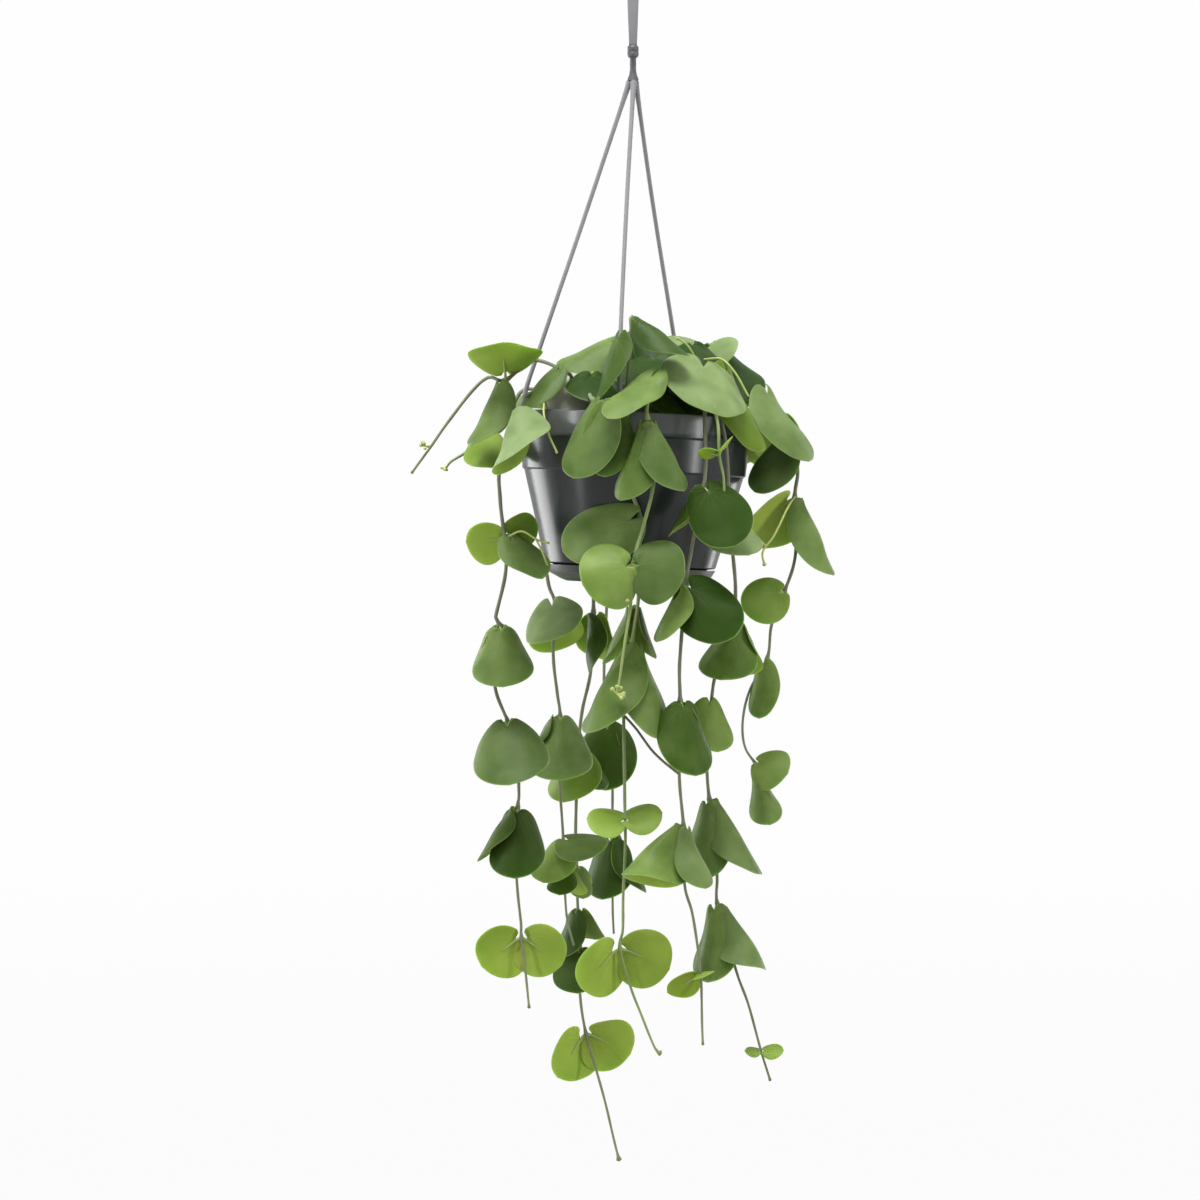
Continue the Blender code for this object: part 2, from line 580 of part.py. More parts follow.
def make_vine(name, rows):
    """One vine: its stem, and the leaves at each of its nodes."""
    places = []
    for x, y, z, *_ in rows:
        places.append(Vector((x, y, mix_height(x) + STEM_START + STEM_RISE if z is None else z)))
    root = places[0] - Vector((0.0, 0.0, STEM_RISE))
    path = smooth_route([root] + places, STEM_STEP)
    share = [index / (len(path) - 1) for index in range(len(path))]
    radii = [STEM_RADIUS + (TIP_RADIUS - STEM_RADIUS) * part ** 2 for part in share]
    tube(f"vine_{name}_stem", path, radii, "stem", 1)
    count = 0
    for index, row in enumerate(rows):
        leaves = row[3:]
        if not leaves:
            continue
        count += 1
        before = places[max(index - 1, 0)]
        after = places[min(index + 1, len(places) - 1)]
        along = (after - before).normalized()
        near = min(range(len(path)), key=lambda spot: (path[spot] - places[index]).length)
        make_leaves(f"vine_{name}_leaves_{count}", places[index], along, radii[near], leaves)


make_pot()
make_saucer()
make_mix()
make_hook()
make_collar()
for strand_name, (rim_angle, way_down) in STRANDS.items():
    make_strand(strand_name, rim_angle, way_down)
for vine_name, vine_rows in VINES.items():
    make_vine(vine_name, vine_rows)
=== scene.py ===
import bmesh
import bpy
import random
from math import cos, degrees, exp, hypot, pi, radians, sin, sqrt, tan
from mathutils import Matrix, Vector
from mathutils.noise import noise


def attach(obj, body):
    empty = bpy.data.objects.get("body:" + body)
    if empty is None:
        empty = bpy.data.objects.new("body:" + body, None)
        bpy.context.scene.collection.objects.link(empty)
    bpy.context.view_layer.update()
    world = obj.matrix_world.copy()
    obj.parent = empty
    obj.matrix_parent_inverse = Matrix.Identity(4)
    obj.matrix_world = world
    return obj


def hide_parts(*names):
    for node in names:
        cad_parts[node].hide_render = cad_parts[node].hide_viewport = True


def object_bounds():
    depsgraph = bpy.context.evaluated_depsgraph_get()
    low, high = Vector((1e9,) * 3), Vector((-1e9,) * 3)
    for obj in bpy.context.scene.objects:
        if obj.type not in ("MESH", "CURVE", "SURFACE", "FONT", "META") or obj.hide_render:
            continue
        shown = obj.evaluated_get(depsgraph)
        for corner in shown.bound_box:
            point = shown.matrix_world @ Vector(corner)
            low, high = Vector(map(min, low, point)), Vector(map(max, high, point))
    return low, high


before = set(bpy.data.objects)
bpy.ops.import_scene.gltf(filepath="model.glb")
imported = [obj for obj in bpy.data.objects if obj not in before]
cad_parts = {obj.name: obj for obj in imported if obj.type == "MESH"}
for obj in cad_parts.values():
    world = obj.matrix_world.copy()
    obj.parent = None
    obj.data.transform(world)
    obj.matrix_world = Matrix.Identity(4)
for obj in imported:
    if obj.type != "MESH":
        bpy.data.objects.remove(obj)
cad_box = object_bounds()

MM = 0.001
VIEW_WIDTH = 0.72           # metres across the picture, at the plant
CAMERA_DISTANCE = 3.4
CAMERA_PLACE = (-0.0198, -CAMERA_DISTANCE, -0.380)
PICTURE_MIDDLE = -0.405     # height of the middle of the picture
FLOOR_DROP = 0.55           # from the lowest tip to the floor
FLOOR_RADIUS = 60.0
FADE_START, FADE_END = 3.0, 15.0
FLOOR_GLOW = 0.95           # of the sky's white, near the plant
STRIP_ANGLE = 64.0          # of each strip from the camera, round the pot
STRIP_DISTANCE = 1.7
STRIP_SIZE = (0.12, 1.5)
STRIP_WATTS = 10.0
POT_HEIGHT = -0.35          # that the strips and rim lights face
SKY_LIGHT = 0.50            # of the white that the sky shows


def linear(code):
    """Linear colour with alpha from an sRGB hex code."""
    parts = [int(code[place:place + 2], 16) / 255 for place in (1, 3, 5)]
    return (*(((part + 0.055) / 1.055) ** 2.4 if part > 0.04045 else part / 12.92 for part in parts), 1.0)


def add(tree, kind, inputs=None, **settings):
    """Add a shader node with its settings, and its inputs as values or as other nodes' sockets."""
    made = tree.nodes.new(kind)
    for name, value in settings.items():
        setattr(made, name, value)
    for key, value in (inputs or {}).items():
        if isinstance(value, bpy.types.NodeSocket):
            tree.links.new(value, made.inputs[key])
        else:
            made.inputs[key].default_value = value
    return made


def start_material(name, **shader_values):
    """A material whose Principled shader has the given socket values: tree and shader come back too."""
    made = bpy.data.materials.new(name)
    made.use_nodes = True
    shader = made.node_tree.nodes["Principled BSDF"]
    for key, value in shader_values.items():
        shader.inputs[key.replace("_", " ")].default_value = value
    return made, made.node_tree, shader


scene = bpy.context.scene
scene.view_settings.view_transform = "Standard"
camera = bpy.data.objects.new("camera", bpy.data.cameras.new("camera"))
camera.data.sensor_width = 36.0
camera.data.lens = 36.0 * CAMERA_DISTANCE / VIEW_WIDTH
camera.data.shift_y = (PICTURE_MIDDLE - CAMERA_PLACE[2]) / VIEW_WIDTH
camera.data.clip_end = 100.0
camera.location = CAMERA_PLACE
camera.rotation_euler = (pi / 2, 0.0, 0.0)
scene.collection.objects.link(camera)
scene.camera = camera

world = bpy.data.worlds.new("white_sky")
world.use_nodes = True
sky = world.node_tree.nodes["Background"]
sky.inputs["Color"].default_value = linear("#FEFEFE")
seen = add(world.node_tree, "ShaderNodeLightPath").outputs["Is Camera Ray"]
strength = add(world.node_tree, "ShaderNodeMapRange", {"Value": seen, "To Min": SKY_LIGHT})
world.node_tree.links.new(strength.outputs["Result"], sky.inputs["Strength"])
scene.world = world


def softbox(name, place, aim, size, watts):
    """A rectangular area light that faces a point."""
    data = bpy.data.lights.new(name, "AREA")
    data.shape = "RECTANGLE"
    data.size, data.size_y = size
    data.energy = watts
    lamp = bpy.data.objects.new(name, data)
    lamp.location = place
    lamp.rotation_euler = (Vector(aim) - Vector(place)).to_track_quat("-Z", "Y").to_euler()
    scene.collection.objects.link(lamp)


for side_name, way in (("left", -1), ("right", 1)):
    strip_turn = radians(STRIP_ANGLE)
    spot = (way * STRIP_DISTANCE * sin(strip_turn), -STRIP_DISTANCE * cos(strip_turn), POT_HEIGHT)
    softbox(f"strip_{side_name}", spot, (0.0, 0.0, POT_HEIGHT), STRIP_SIZE, STRIP_WATTS)
softbox("overhead", (-0.5, -1.0, 3.2), (0.0, 0.0, -0.4), (2.2, 2.2), 182.0)
softbox("rim_left", (-1.4, 1.05, -0.4), (0.0, 0.0, POT_HEIGHT), (0.8, 1.3), 16.0)
softbox("rim_right", (1.2, 1.35, -0.4), (0.0, 0.0, POT_HEIGHT), (0.3, 1.3), 5.0)

bpy.ops.mesh.primitive_circle_add(vertices=96, radius=FLOOR_RADIUS, fill_type="NGON",
                                  location=(0.0, 0.0, cad_box[0].z - FLOOR_DROP))
floor = bpy.context.object
floor.name = "studio_floor"
floor.visible_diffuse = False
floor.visible_glossy = False
# Painted white floor, matt, which runs into the sky a few metres out
floor_paint, tree, shader = start_material("matt_white_floor_paint", Roughness=0.9)
shader.inputs["Base Color"].default_value = linear("#F2F2F2")
place = add(tree, "ShaderNodeTexCoord").outputs["Object"]
out = add(tree, "ShaderNodeVectorMath", {0: place}, operation="LENGTH").outputs["Value"]
fade = add(tree, "ShaderNodeMapRange", {"Value": out, "From Min": FADE_START, "From Max": FADE_END,
                                        "To Min": FLOOR_GLOW},
           interpolation_type="SMOOTHSTEP").outputs["Result"]
glow = add(tree, "ShaderNodeEmission", {"Color": linear("#FEFEFE"), "Strength": 1.0}).outputs["Emission"]
mixed = add(tree, "ShaderNodeMixShader", {0: fade, 1: shader.outputs["BSDF"], 2: glow}).outputs["Shader"]
tree.links.new(mixed, tree.nodes["Material Output"].inputs["Surface"])
floor.data.materials.append(floor_paint)

# The pot: dark grey polypropylene, injection moulded, with a rim band coloured paler as painted light, a
# skirt below it and a tapered body on a foot. It hangs a little low on its right side. The mould leaves a
# polish that mirrors the lights, dulled here and there by faint dust and fine upright scuffs.
RIM_CENTRE = (2.0, 0.0, -294.0)
POT_TILT = 2.4
RIM_RADIUS = 70.0
RIM_WALL = 3.6
RIM_BAND = 14.0
WALL_RADII = (64.0, 49.4)   # inside, under the skirt and at the foot
SKIRT_FOOT = 35.1
FOOT_BOTTOM = 93.0
# radius and depth of the wall, from the rim's inner edge over the outside to the inside
POT_PROFILE = [
    (RIM_RADIUS - RIM_WALL, 0.0), (RIM_RADIUS, 0.0), (RIM_RADIUS, RIM_BAND), (68.6, 14.6), (67.0, 34.5),
    (65.8, SKIRT_FOOT), (51.2, 90.5), (46.0, 91.1), (45.4, FOOT_BOTTOM), (5.6, FOOT_BOTTOM), (5.6, 91.2),
    (43.6, 91.2), (WALL_RADII[1], 88.7), (WALL_RADII[0], SKIRT_FOOT),
]
HOLE_RING_RADIUS = 38.0
HOLE_RADIUS = 4.0
HOLE_COUNT = 6
TURNED_SIDES = 144
BAND_LIGHT_EDGE = 3.0             # height in which the rim band's painted light fades out
DUST_PATCH = 35.7           # across
SCUFF_WIDTH = 2.38          # coarser than the real hairlines, so that they show
SCUFF_SQUEEZE = 0.08        # of the pattern, upright, which draws the scuffs out
pot_frame = Matrix.Translation(Vector(RIM_CENTRE) * MM) @ Matrix.Rotation(radians(POT_TILT), 4, "Y")


def add_piece(name, mesh, materials, slot, *nodes, sharp=None):
    """Link a mesh as a piece that rides on the body and stands for CAD nodes. Sharp is in degrees."""
    mesh.name = name
    piece = bpy.data.objects.new(name, mesh)
    for made in materials:
        mesh.materials.append(made)
    scene.collection.objects.link(piece)
    mesh.shade_smooth()
    if sharp:
        mesh.set_sharp_from_angle(angle=radians(sharp))
    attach(piece, "root")
    if nodes:
        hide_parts(*nodes)
    return piece


def corner(before, point, after, radius, steps=4):
    """Points of a rounded corner between two straight runs of a profile."""
    before, point, after = Vector(before), Vector(point), Vector(after)
    back, on = (before - point), (after - point)
    cut = min(radius, back.length * 0.45, on.length * 0.45)
    start, end = point + back.normalized() * cut, point + on.normalized() * cut
    curve = []
    for step in range(steps + 1):
        t = step / steps
        curve.append(start * (1 - t) ** 2 + point * 2 * t * (1 - t) + end * t ** 2)
    return curve


def rounded(profile, radius):
    """A closed profile with every corner rounded."""
    count = len(profile)
    points = []
    for index in range(count):
        points += corner(profile[index - 1], profile[index], profile[(index + 1) % count], radius)
    return points


def finish_mesh(work):
    """Turn finished mesh work into a mesh with its faces pointing out."""
    bmesh.ops.recalc_face_normals(work, faces=work.faces)
    mesh = bpy.data.meshes.new("piece")
    work.to_mesh(mesh)
    work.free()
    return mesh


def turned(profile, sides, closed=True):
    """A mesh turned round the pot's axis from (radius, depth) points that run down its outer side."""
    work = bmesh.new()
    rings = []
    for radius, depth in profile:
        if radius < 0.01:
            rings.append([work.verts.new((0.0, 0.0, -depth * MM))] * sides)
            continue
        ring = []
        for side in range(sides):
            turn = 2 * pi * side / sides
            ring.append(work.verts.new((radius * cos(turn) * MM, radius * sin(turn) * MM, -depth * MM)))
        rings.append(ring)
    pairs = list(zip(rings, rings[1:]))
    if closed:
        pairs.append((rings[-1], rings[0]))
    for upper, lower in pairs:
        for side in range(sides):
            after = (side + 1) % sides
            face = dict.fromkeys((upper[side], lower[side], lower[after], upper[after]))
            if len(face) > 2:
                work.faces.new(tuple(face))
    work.transform(pot_frame)
    return finish_mesh(work)


def shown_mesh(thing):
    """The mesh of an object as its modifiers or its curve settings make it."""
    bpy.context.view_layer.update()
    return bpy.data.meshes.new_from_object(thing.evaluated_get(bpy.context.evaluated_depsgraph_get()))


# Dark moulded polypropylene: a hard mirror from the polished mould, softened by dust and scuffs, and painted
# light on the rim band
pot_plastic, tree, shader = start_material("moulded_polypropylene_dark", IOR=1.49)
place = add(tree, "ShaderNodeTexCoord").outputs["Object"]
sockets = {"Vector": place, "Scale": (1.0, 1.0, SCUFF_SQUEEZE)}
tall = add(tree, "ShaderNodeMapping", sockets).outputs["Vector"]
scuff = add(tree, "ShaderNodeTexNoise", {"Vector": tall, "Scale": 1 / (SCUFF_WIDTH * MM), "Detail": 3.0})
dust = add(tree, "ShaderNodeTexNoise", {"Vector": place, "Scale": 1 / (DUST_PATCH * MM), "Detail": 5.0})
height = add(tree, "ShaderNodeSeparateXYZ", {0: place}).outputs["Z"]
band_foot = RIM_CENTRE[2] - RIM_BAND - 0.5
painted_band_light = add(tree, "ShaderNodeMapRange", {"Value": height, "From Min": band_foot * MM,
                                        "From Max": (band_foot + BAND_LIGHT_EDGE) * MM},
           interpolation_type="SMOOTHSTEP").outputs["Result"]
dusty = add(tree, "ShaderNodeMapRange", {"Value": dust.outputs["Fac"], "From Min": 0.45, "From Max": 0.75,
                                         "To Max": 0.35}).outputs["Result"]
tone = add(tree, "ShaderNodeMix", {"Factor": dusty, 6: linear("#2C3130"), 7: linear("#3E4240")},
           data_type="RGBA").outputs[2]
# painted light: the rim band's colour is paler from its foot up, standing in for the light it catches from
# above
tone = add(tree, "ShaderNodeMix", {"Factor": painted_band_light, 6: tone, 7: linear("#5C605D")},
           data_type="RGBA").outputs[2]
tree.links.new(tone, shader.inputs["Base Color"])
gloss = add(tree, "ShaderNodeMapRange", {"Value": scuff.outputs["Fac"], "From Min": 0.3, "From Max": 0.7,
                                         "To Min": 0.21, "To Max": 0.25}).outputs["Result"]
tree.links.new(gloss, shader.inputs["Roughness"])

pot_mesh = turned(rounded(POT_PROFILE, 0.9), TURNED_SIDES)
pot = add_piece("moulded_pot", pot_mesh, [pot_plastic], "pot_plastic", "pot")
drills = []
for number in range(HOLE_COUNT):
    turn = 2 * pi * number / HOLE_COUNT
    spot = Vector((HOLE_RING_RADIUS * cos(turn), HOLE_RING_RADIUS * sin(turn), -FOOT_BOTTOM)) * MM
    bpy.ops.mesh.primitive_cylinder_add(vertices=32, radius=HOLE_RADIUS * MM, depth=12 * MM)
    drill = bpy.context.object
    drill.matrix_world = pot_frame @ Matrix.Translation(spot)
    drills.append(drill)
    cut = pot.modifiers.new(f"drain_hole_{number}", "BOOLEAN")
    cut.object = drill
    cut.solver = "EXACT"
drilled = shown_mesh(pot)
pot.modifiers.clear()
pot.data = drilled
drilled.set_sharp_from_angle(angle=radians(35))
for drill in drills:
    bpy.data.objects.remove(drill, do_unlink=True)

# The saucer: the same polypropylene, a shallow dish that clips under the foot. It is coloured a shade paler
# than the pot as painted light, reflected up into it from below, and it has a seat ring and a snap boss in
# the middle.
# radius and depth below the rim, from the top of the boss over its inside to the middle of its bottom
SAUCER_PROFILE = [
    (0.0, 88.0), (4.4, 88.0), (6.8, 89.8), (6.8, 90.9), (5.0, 90.9), (5.0, 99.5), (29.5, 99.5), (29.5, 93.3),
    (31.0, 93.3), (31.0, 99.5), (37.0, 99.5), (44.9, 96.1), (49.9, 91.5), (51.4, 91.5), (48.8, 95.9),
    (41.0, 99.8), (37.5, 101.0), (0.0, 101.0),
]

SAUCER_DUST = 16.7          # across a patch of dust


def mottled(name, grain, detail, first, second, **shader_values):
    """A material in patches of two colours, of a grain in mm: its tree, shader, place and patches too."""
    made, tree, shader = start_material(name, **shader_values)
    place = add(tree, "ShaderNodeTexCoord").outputs["Object"]
    patch = add(tree, "ShaderNodeTexNoise", {"Vector": place, "Scale": 1 / (grain * MM), "Detail": detail})
    tone = add(tree, "ShaderNodeMix", {"Factor": patch.outputs["Fac"], 6: linear(first), 7: linear(second)},
               data_type="RGBA").outputs[2]
    tree.links.new(tone, shader.inputs["Base Color"])
    return made, tree, shader, place, patch.outputs["Fac"]


# The same moulded polypropylene, coloured paler overall as painted light from below, and paler and matt
# where its dust lies
saucer_plastic, tree, shader, _, dust = mottled("moulded_polypropylene_saucer", SAUCER_DUST, 6.0, "#3A3D3C",
                                                "#5E605E", IOR=1.49)
gloss = add(tree, "ShaderNodeMapRange", {"Value": dust, "From Min": 0.3, "From Max": 0.7, "To Min": 0.26,
                                         "To Max": 0.42}).outputs["Result"]
tree.links.new(gloss, shader.inputs["Roughness"])
relief = add(tree, "ShaderNodeBump", {"Height": dust, "Strength": 0.06, "Distance": 0.5 * MM})
tree.links.new(relief.outputs["Normal"], shader.inputs["Normal"])

saucer_turns = [SAUCER_PROFILE[0]]
for before, point, after in zip(SAUCER_PROFILE, SAUCER_PROFILE[1:], SAUCER_PROFILE[2:]):
    saucer_turns += corner(before, point, after, 0.5, 3)
saucer_turns.append(SAUCER_PROFILE[-1])
add_piece("clip_on_saucer", turned(saucer_turns, TURNED_SIDES, closed=False), [saucer_plastic],
          "pot_plastic", "saucer", sharp=35)

# The potting mix: dark peat with bark crumbs, filled to just under the rim and settled into a
# slightly uneven surface, with a few white grains of perlite in it.
MIX_DEPTH = 9.0
MIX_FLOOR = 87.4
MIX_GAP = 0.3               # from the pot's wall
MIX_SWELL = 1.1             # of the surface, up and down
CRUMB_COUNT = 420
PERLITE_SHARE = 0.08
PEAT_CRUMB = 2.0            # across
PERLITE_GRAIN = 1.11

# Peat: dull dark crumbs, with bark fibre that catches a little light
peat, tree, shader, _, crumbs = mottled("peat_and_bark", PEAT_CRUMB, 8.0, "#1E140C", "#5A4430",
                                        Roughness=0.95)
relief = add(tree, "ShaderNodeBump", {"Height": crumbs, "Strength": 0.8, "Distance": 1.2 * MM})
tree.links.new(relief.outputs["Normal"], shader.inputs["Normal"])
# Perlite: puffed volcanic glass, chalky and matt
perlite = mottled("expanded_perlite", PERLITE_GRAIN, 4.0, "#B9B5AB", "#EAE7E0", Roughness=0.9)[0]

mix_radius, floor_radius = (radius - MIX_GAP for radius in WALL_RADII)
mix_profile = [(0.0, MIX_DEPTH)]
mix_profile += [(mix_radius * step / 24, MIX_DEPTH) for step in range(1, 25)]
mix_profile += [(mix_radius, SKIRT_FOOT), (floor_radius, MIX_FLOOR), (0.0, MIX_FLOOR)]
mix_mesh = turned(mix_profile, 96, closed=False)
into_pot = pot_frame.inverted()
dice = random.Random(41)
for vertex in mix_mesh.vertices:
    local = into_pot @ vertex.co
    if local.z > -(MIX_DEPTH + 0.5) * MM and hypot(local.x, local.y) < (mix_radius - 0.5) * MM:
        swell = noise(local * 90) + 0.5 * noise(local * 260)
        vertex.co.z += swell * MIX_SWELL * MM
work = bmesh.new()
work.from_mesh(mix_mesh)
for number in range(CRUMB_COUNT):
    out = (mix_radius - 3.0) * sqrt(dice.random())
    turn = dice.uniform(0, 2 * pi)
    size = dice.uniform(0.8, 2.6)
    spot = pot_frame @ Matrix.Translation(Vector((out * cos(turn), out * sin(turn), -MIX_DEPTH + 0.3)) * MM)
    squash = Matrix.Diagonal((1.0, dice.uniform(0.5, 0.9), dice.uniform(0.35, 0.7), 1.0))
    spin = Matrix.Rotation(dice.uniform(0, 2 * pi), 4, "Z")
    spin = spin @ Matrix.Rotation(dice.uniform(-0.5, 0.5), 4, "X")
    made = bmesh.ops.create_icosphere(work, subdivisions=1, radius=size * MM, matrix=spot @ spin @ squash)
    white = dice.random() < PERLITE_SHARE
    for vertex in made["verts"]:
        vertex.co += Vector([dice.uniform(-1, 1) for _ in range(3)]) * size * 0.14 * MM
        for face in vertex.link_faces:
            face.material_index = 1 if white else 0
work.to_mesh(mix_mesh)
work.free()
add_piece("settled_potting_mix", mix_mesh, [peat, perlite], "potting_mix", "potting_mix")

# The hanger: grey polypropylene moulded in one shot and pulled straight. A flat hook runs down into
# a tapered strap, a round collar grips its foot, and three thin strands leave the neck and clip over
# the rim. It has a satin skin, with a faint draw texture along the strands.
HOOK_THICKNESS = 3.2
HOOK_ROUNDING = 0.6
HOOK_THROAT_RADIUS = 11.0
HOOK_WIDTH = 6.0
SHANK_BEND = 20.0           # below the throat's middle
SHANK_FOOT = 14.0           # below the bend
STRAP_TOP_WIDTH = 6.8
STRAP_FOOT_WIDTH = 4.8
STRAP_FOOT = -72.0
# height and radius down the collar, its neck and the fork that the strands leave
COLLAR_PROFILE = [
    (-72.3, 2.5), (-72.6, 3.0), (-73.5, 3.4), (-75.7, 3.4), (-76.0, 3.1), (-76.3, 3.4), (-78.3, 3.4),
    (-79.2, 2.9), (-79.5, 2.4), (-80.1, 1.9), (-87.2, 1.9), (-90.2, 2.4), (-92.0, 3.2), (-93.2, 3.4),
]
TIP_BULGE = 0.6             # of the radius, where a round tube ends
STRAND_RADIUS = 1.3
CLIP_WIDTH = 6.0
CLIP_THICKNESS = 1.6
HANGER_PATCH = 28.6         # across a patch of paler grey
COLLAR_PATCH = 11.1
DRAW_LINE = 1.43            # across, coarser than the real draw lines, so that they show
DRAW_SQUEEZE = 0.15         # of the pattern, upright
STRANDS = {
    "left": (180.0, [(-2.0, 0.0, -94.0), (-30.0, 0.0, -178.0), (-55.0, 0.0, -251.0)]),
    "front": (261.0, [(0.4, -2.6, -94.0), (-4.0, -28.0, -170.0), (-8.0, -58.0, -255.0)]),
    "back": (65.0, [(1.6, 2.2, -94.0), (12.0, 25.0, -165.0), (26.0, 52.0, -250.0)]),
}

# Grey moulded polypropylene: satin, with faint lines from the drawing
hanger_plastic, tree, shader, place, _ = mottled("moulded_polypropylene_grey", HANGER_PATCH, 3.0, "#7E7E80",
                                                 "#949497", Roughness=0.42, IOR=1.49)
sockets = {"Vector": place, "Scale": (1.0, 1.0, DRAW_SQUEEZE)}
tall = add(tree, "ShaderNodeMapping", sockets).outputs["Vector"]
lines = add(tree, "ShaderNodeTexNoise", {"Vector": tall, "Scale": 1 / (DRAW_LINE * MM), "Detail": 3.0})
relief = add(tree, "ShaderNodeBump", {"Height": lines.outputs["Fac"], "Strength": 0.12,
                                      "Distance": 0.4 * MM})
tree.links.new(relief.outputs["Normal"], shader.inputs["Normal"])
# The collar is coloured a darker grey than the rest of the hanger
collar_plastic = mottled("moulded_polypropylene_collar", COLLAR_PATCH, 4.0, "#4C4C50", "#66666B",
                         Roughness=0.4, IOR=1.49)[0]


def arc(centre, radius, start, end, steps):
    """Points on an arc in the hook's plane, angles in degrees."""
    points = []
    for step in range(steps + 1):
        angle = radians(start + (end - start) * step / steps)
        points.append((centre[0] + radius * cos(angle), centre[1] + radius * sin(angle)))
    return points


def smooth_route(points, spacing):
    """A smooth curve through the points, sampled about every spacing mm, keeping each point."""
    points = [Vector(point) for point in points]
    padded = [points[0] * 2 - points[1]] + points + [points[-1] * 2 - points[-2]]
    samples = [points[0]]
    for before, start, end, after in zip(padded, padded[1:], padded[2:], padded[3:]):
        steps = max(1, round((end - start).length / spacing))
        for step in range(1, steps + 1):
            t = step / steps
            bend = (start * 2 + (end - before) * t + (before * 2 - start * 5 + end * 4 - after) * t ** 2
                    + (start * 3 - before - end * 3 + after) * t ** 3)
            samples.append(bend / 2)
    return samples


def sweep(work, points, radii, sides, values=None, layer=None, finish=0):
    """A round tube through points in mm, with rounded ends and, at will, a value at each point."""
    rings = []
    across = None
    ends = len(points) - 1
    for index, (point, radius) in enumerate(zip(points, radii)):
        along = (points[min(index + 1, ends)] - points[max(index - 1, 0)]).normalized()
        if across is None:
            across = along.orthogonal().normalized()
        across = (across - along * across.dot(along)).normalized()
        other = along.cross(across)
        ring = []
        for side in range(sides):
            turn = 2 * pi * side / sides
            spot = point + (across * cos(turn) + other * sin(turn)) * radius
            vertex = work.verts.new(spot * MM)
            if layer is not None:
                vertex[layer] = values[index]
            ring.append(vertex)
        rings.append(ring)
    for upper, lower in zip(rings, rings[1:]):
        for side in range(sides):
            after = (side + 1) % sides
            face = work.faces.new((upper[side], upper[after], lower[after], lower[side]))
            face.material_index = finish
    for mark, inward in ((0, 1), (-1, -2)):
        ring, toward = rings[mark], (points[mark] - points[inward]).normalized()
        tip = work.verts.new((points[mark] + toward * radii[mark] * TIP_BULGE) * MM)
        if layer is not None:
            tip[layer] = values[mark]
        for side in range(sides):
            after = (side + 1) % sides
            loop = (tip, ring[after], ring[side]) if mark == 0 else (tip, ring[side], ring[after])
            work.faces.new(loop).material_index = finish


throat = HOOK_THROAT_RADIUS
back = throat + HOOK_WIDTH
bend = -throat - SHANK_BEND
strap_top = bend - SHANK_FOOT
half_top = STRAP_TOP_WIDTH / 2
half_foot = STRAP_FOOT_WIDTH / 2
centre = (0.0, -throat)
hook_outline = [(-half_foot, STRAP_FOOT), (half_foot, STRAP_FOOT), (half_top, strap_top)]
shank = [(half_top, strap_top), (half_top + 4.0, bend - 4.0), (back, -throat - 8.0), (back, -throat)]
hook_outline += smooth_route(shank, 2.0)[1:-1]
hook_outline += arc(centre, back, 0.0, 180.0, 48)
hook_outline += arc((-(throat + back) / 2, -throat - 4.0), HOOK_WIDTH / 2, 180.0, 360.0, 16)
hook_outline += arc(centre, throat, 180.0, 0.0, 40)
shank = [(throat, -throat), (throat, -throat - 5.0), (half_top - 1.0, bend - 1.0), (-half_top, strap_top)]
hook_outline += smooth_route(shank, 2.0)[1:]
curve = bpy.data.curves.new("hook_and_strap", "CURVE")
curve.dimensions = "2D"
curve.fill_mode = "BOTH"
curve.extrude = (HOOK_THICKNESS / 2 - HOOK_ROUNDING) * MM
curve.bevel_depth = HOOK_ROUNDING * MM
curve.bevel_resolution = 3
curve.offset = -HOOK_ROUNDING * MM
spline = curve.splines.new("POLY")
spline.points.add(len(hook_outline) - 1)
for point, (x, z) in zip(spline.points, hook_outline):
    point.co = (x * MM, z * MM, 0.0, 1.0)
spline.use_cyclic_u = True
drawn = bpy.data.objects.new("hook_drawing", curve)
scene.collection.objects.link(drawn)
hook_mesh = shown_mesh(drawn)
hook_mesh.transform(Matrix.Rotation(pi / 2, 4, "X"))
bpy.data.objects.remove(drawn, do_unlink=True)
work = bmesh.new()
work.from_mesh(hook_mesh)
bmesh.ops.remove_doubles(work, verts=work.verts, dist=0.00001)
add_piece("hook_and_strap", finish_mesh(work), [hanger_plastic], "hanger_plastic", "hanger_hook", sharp=40)

work = bmesh.new()
points = [Vector((0.0, 0.0, height)) for height, _ in COLLAR_PROFILE]
sweep(work, points, [radius for _, radius in COLLAR_PROFILE], 48)
add_piece("collar_and_neck", finish_mesh(work), [collar_plastic], "hanger_plastic", "hanger_collar",
          sharp=50)

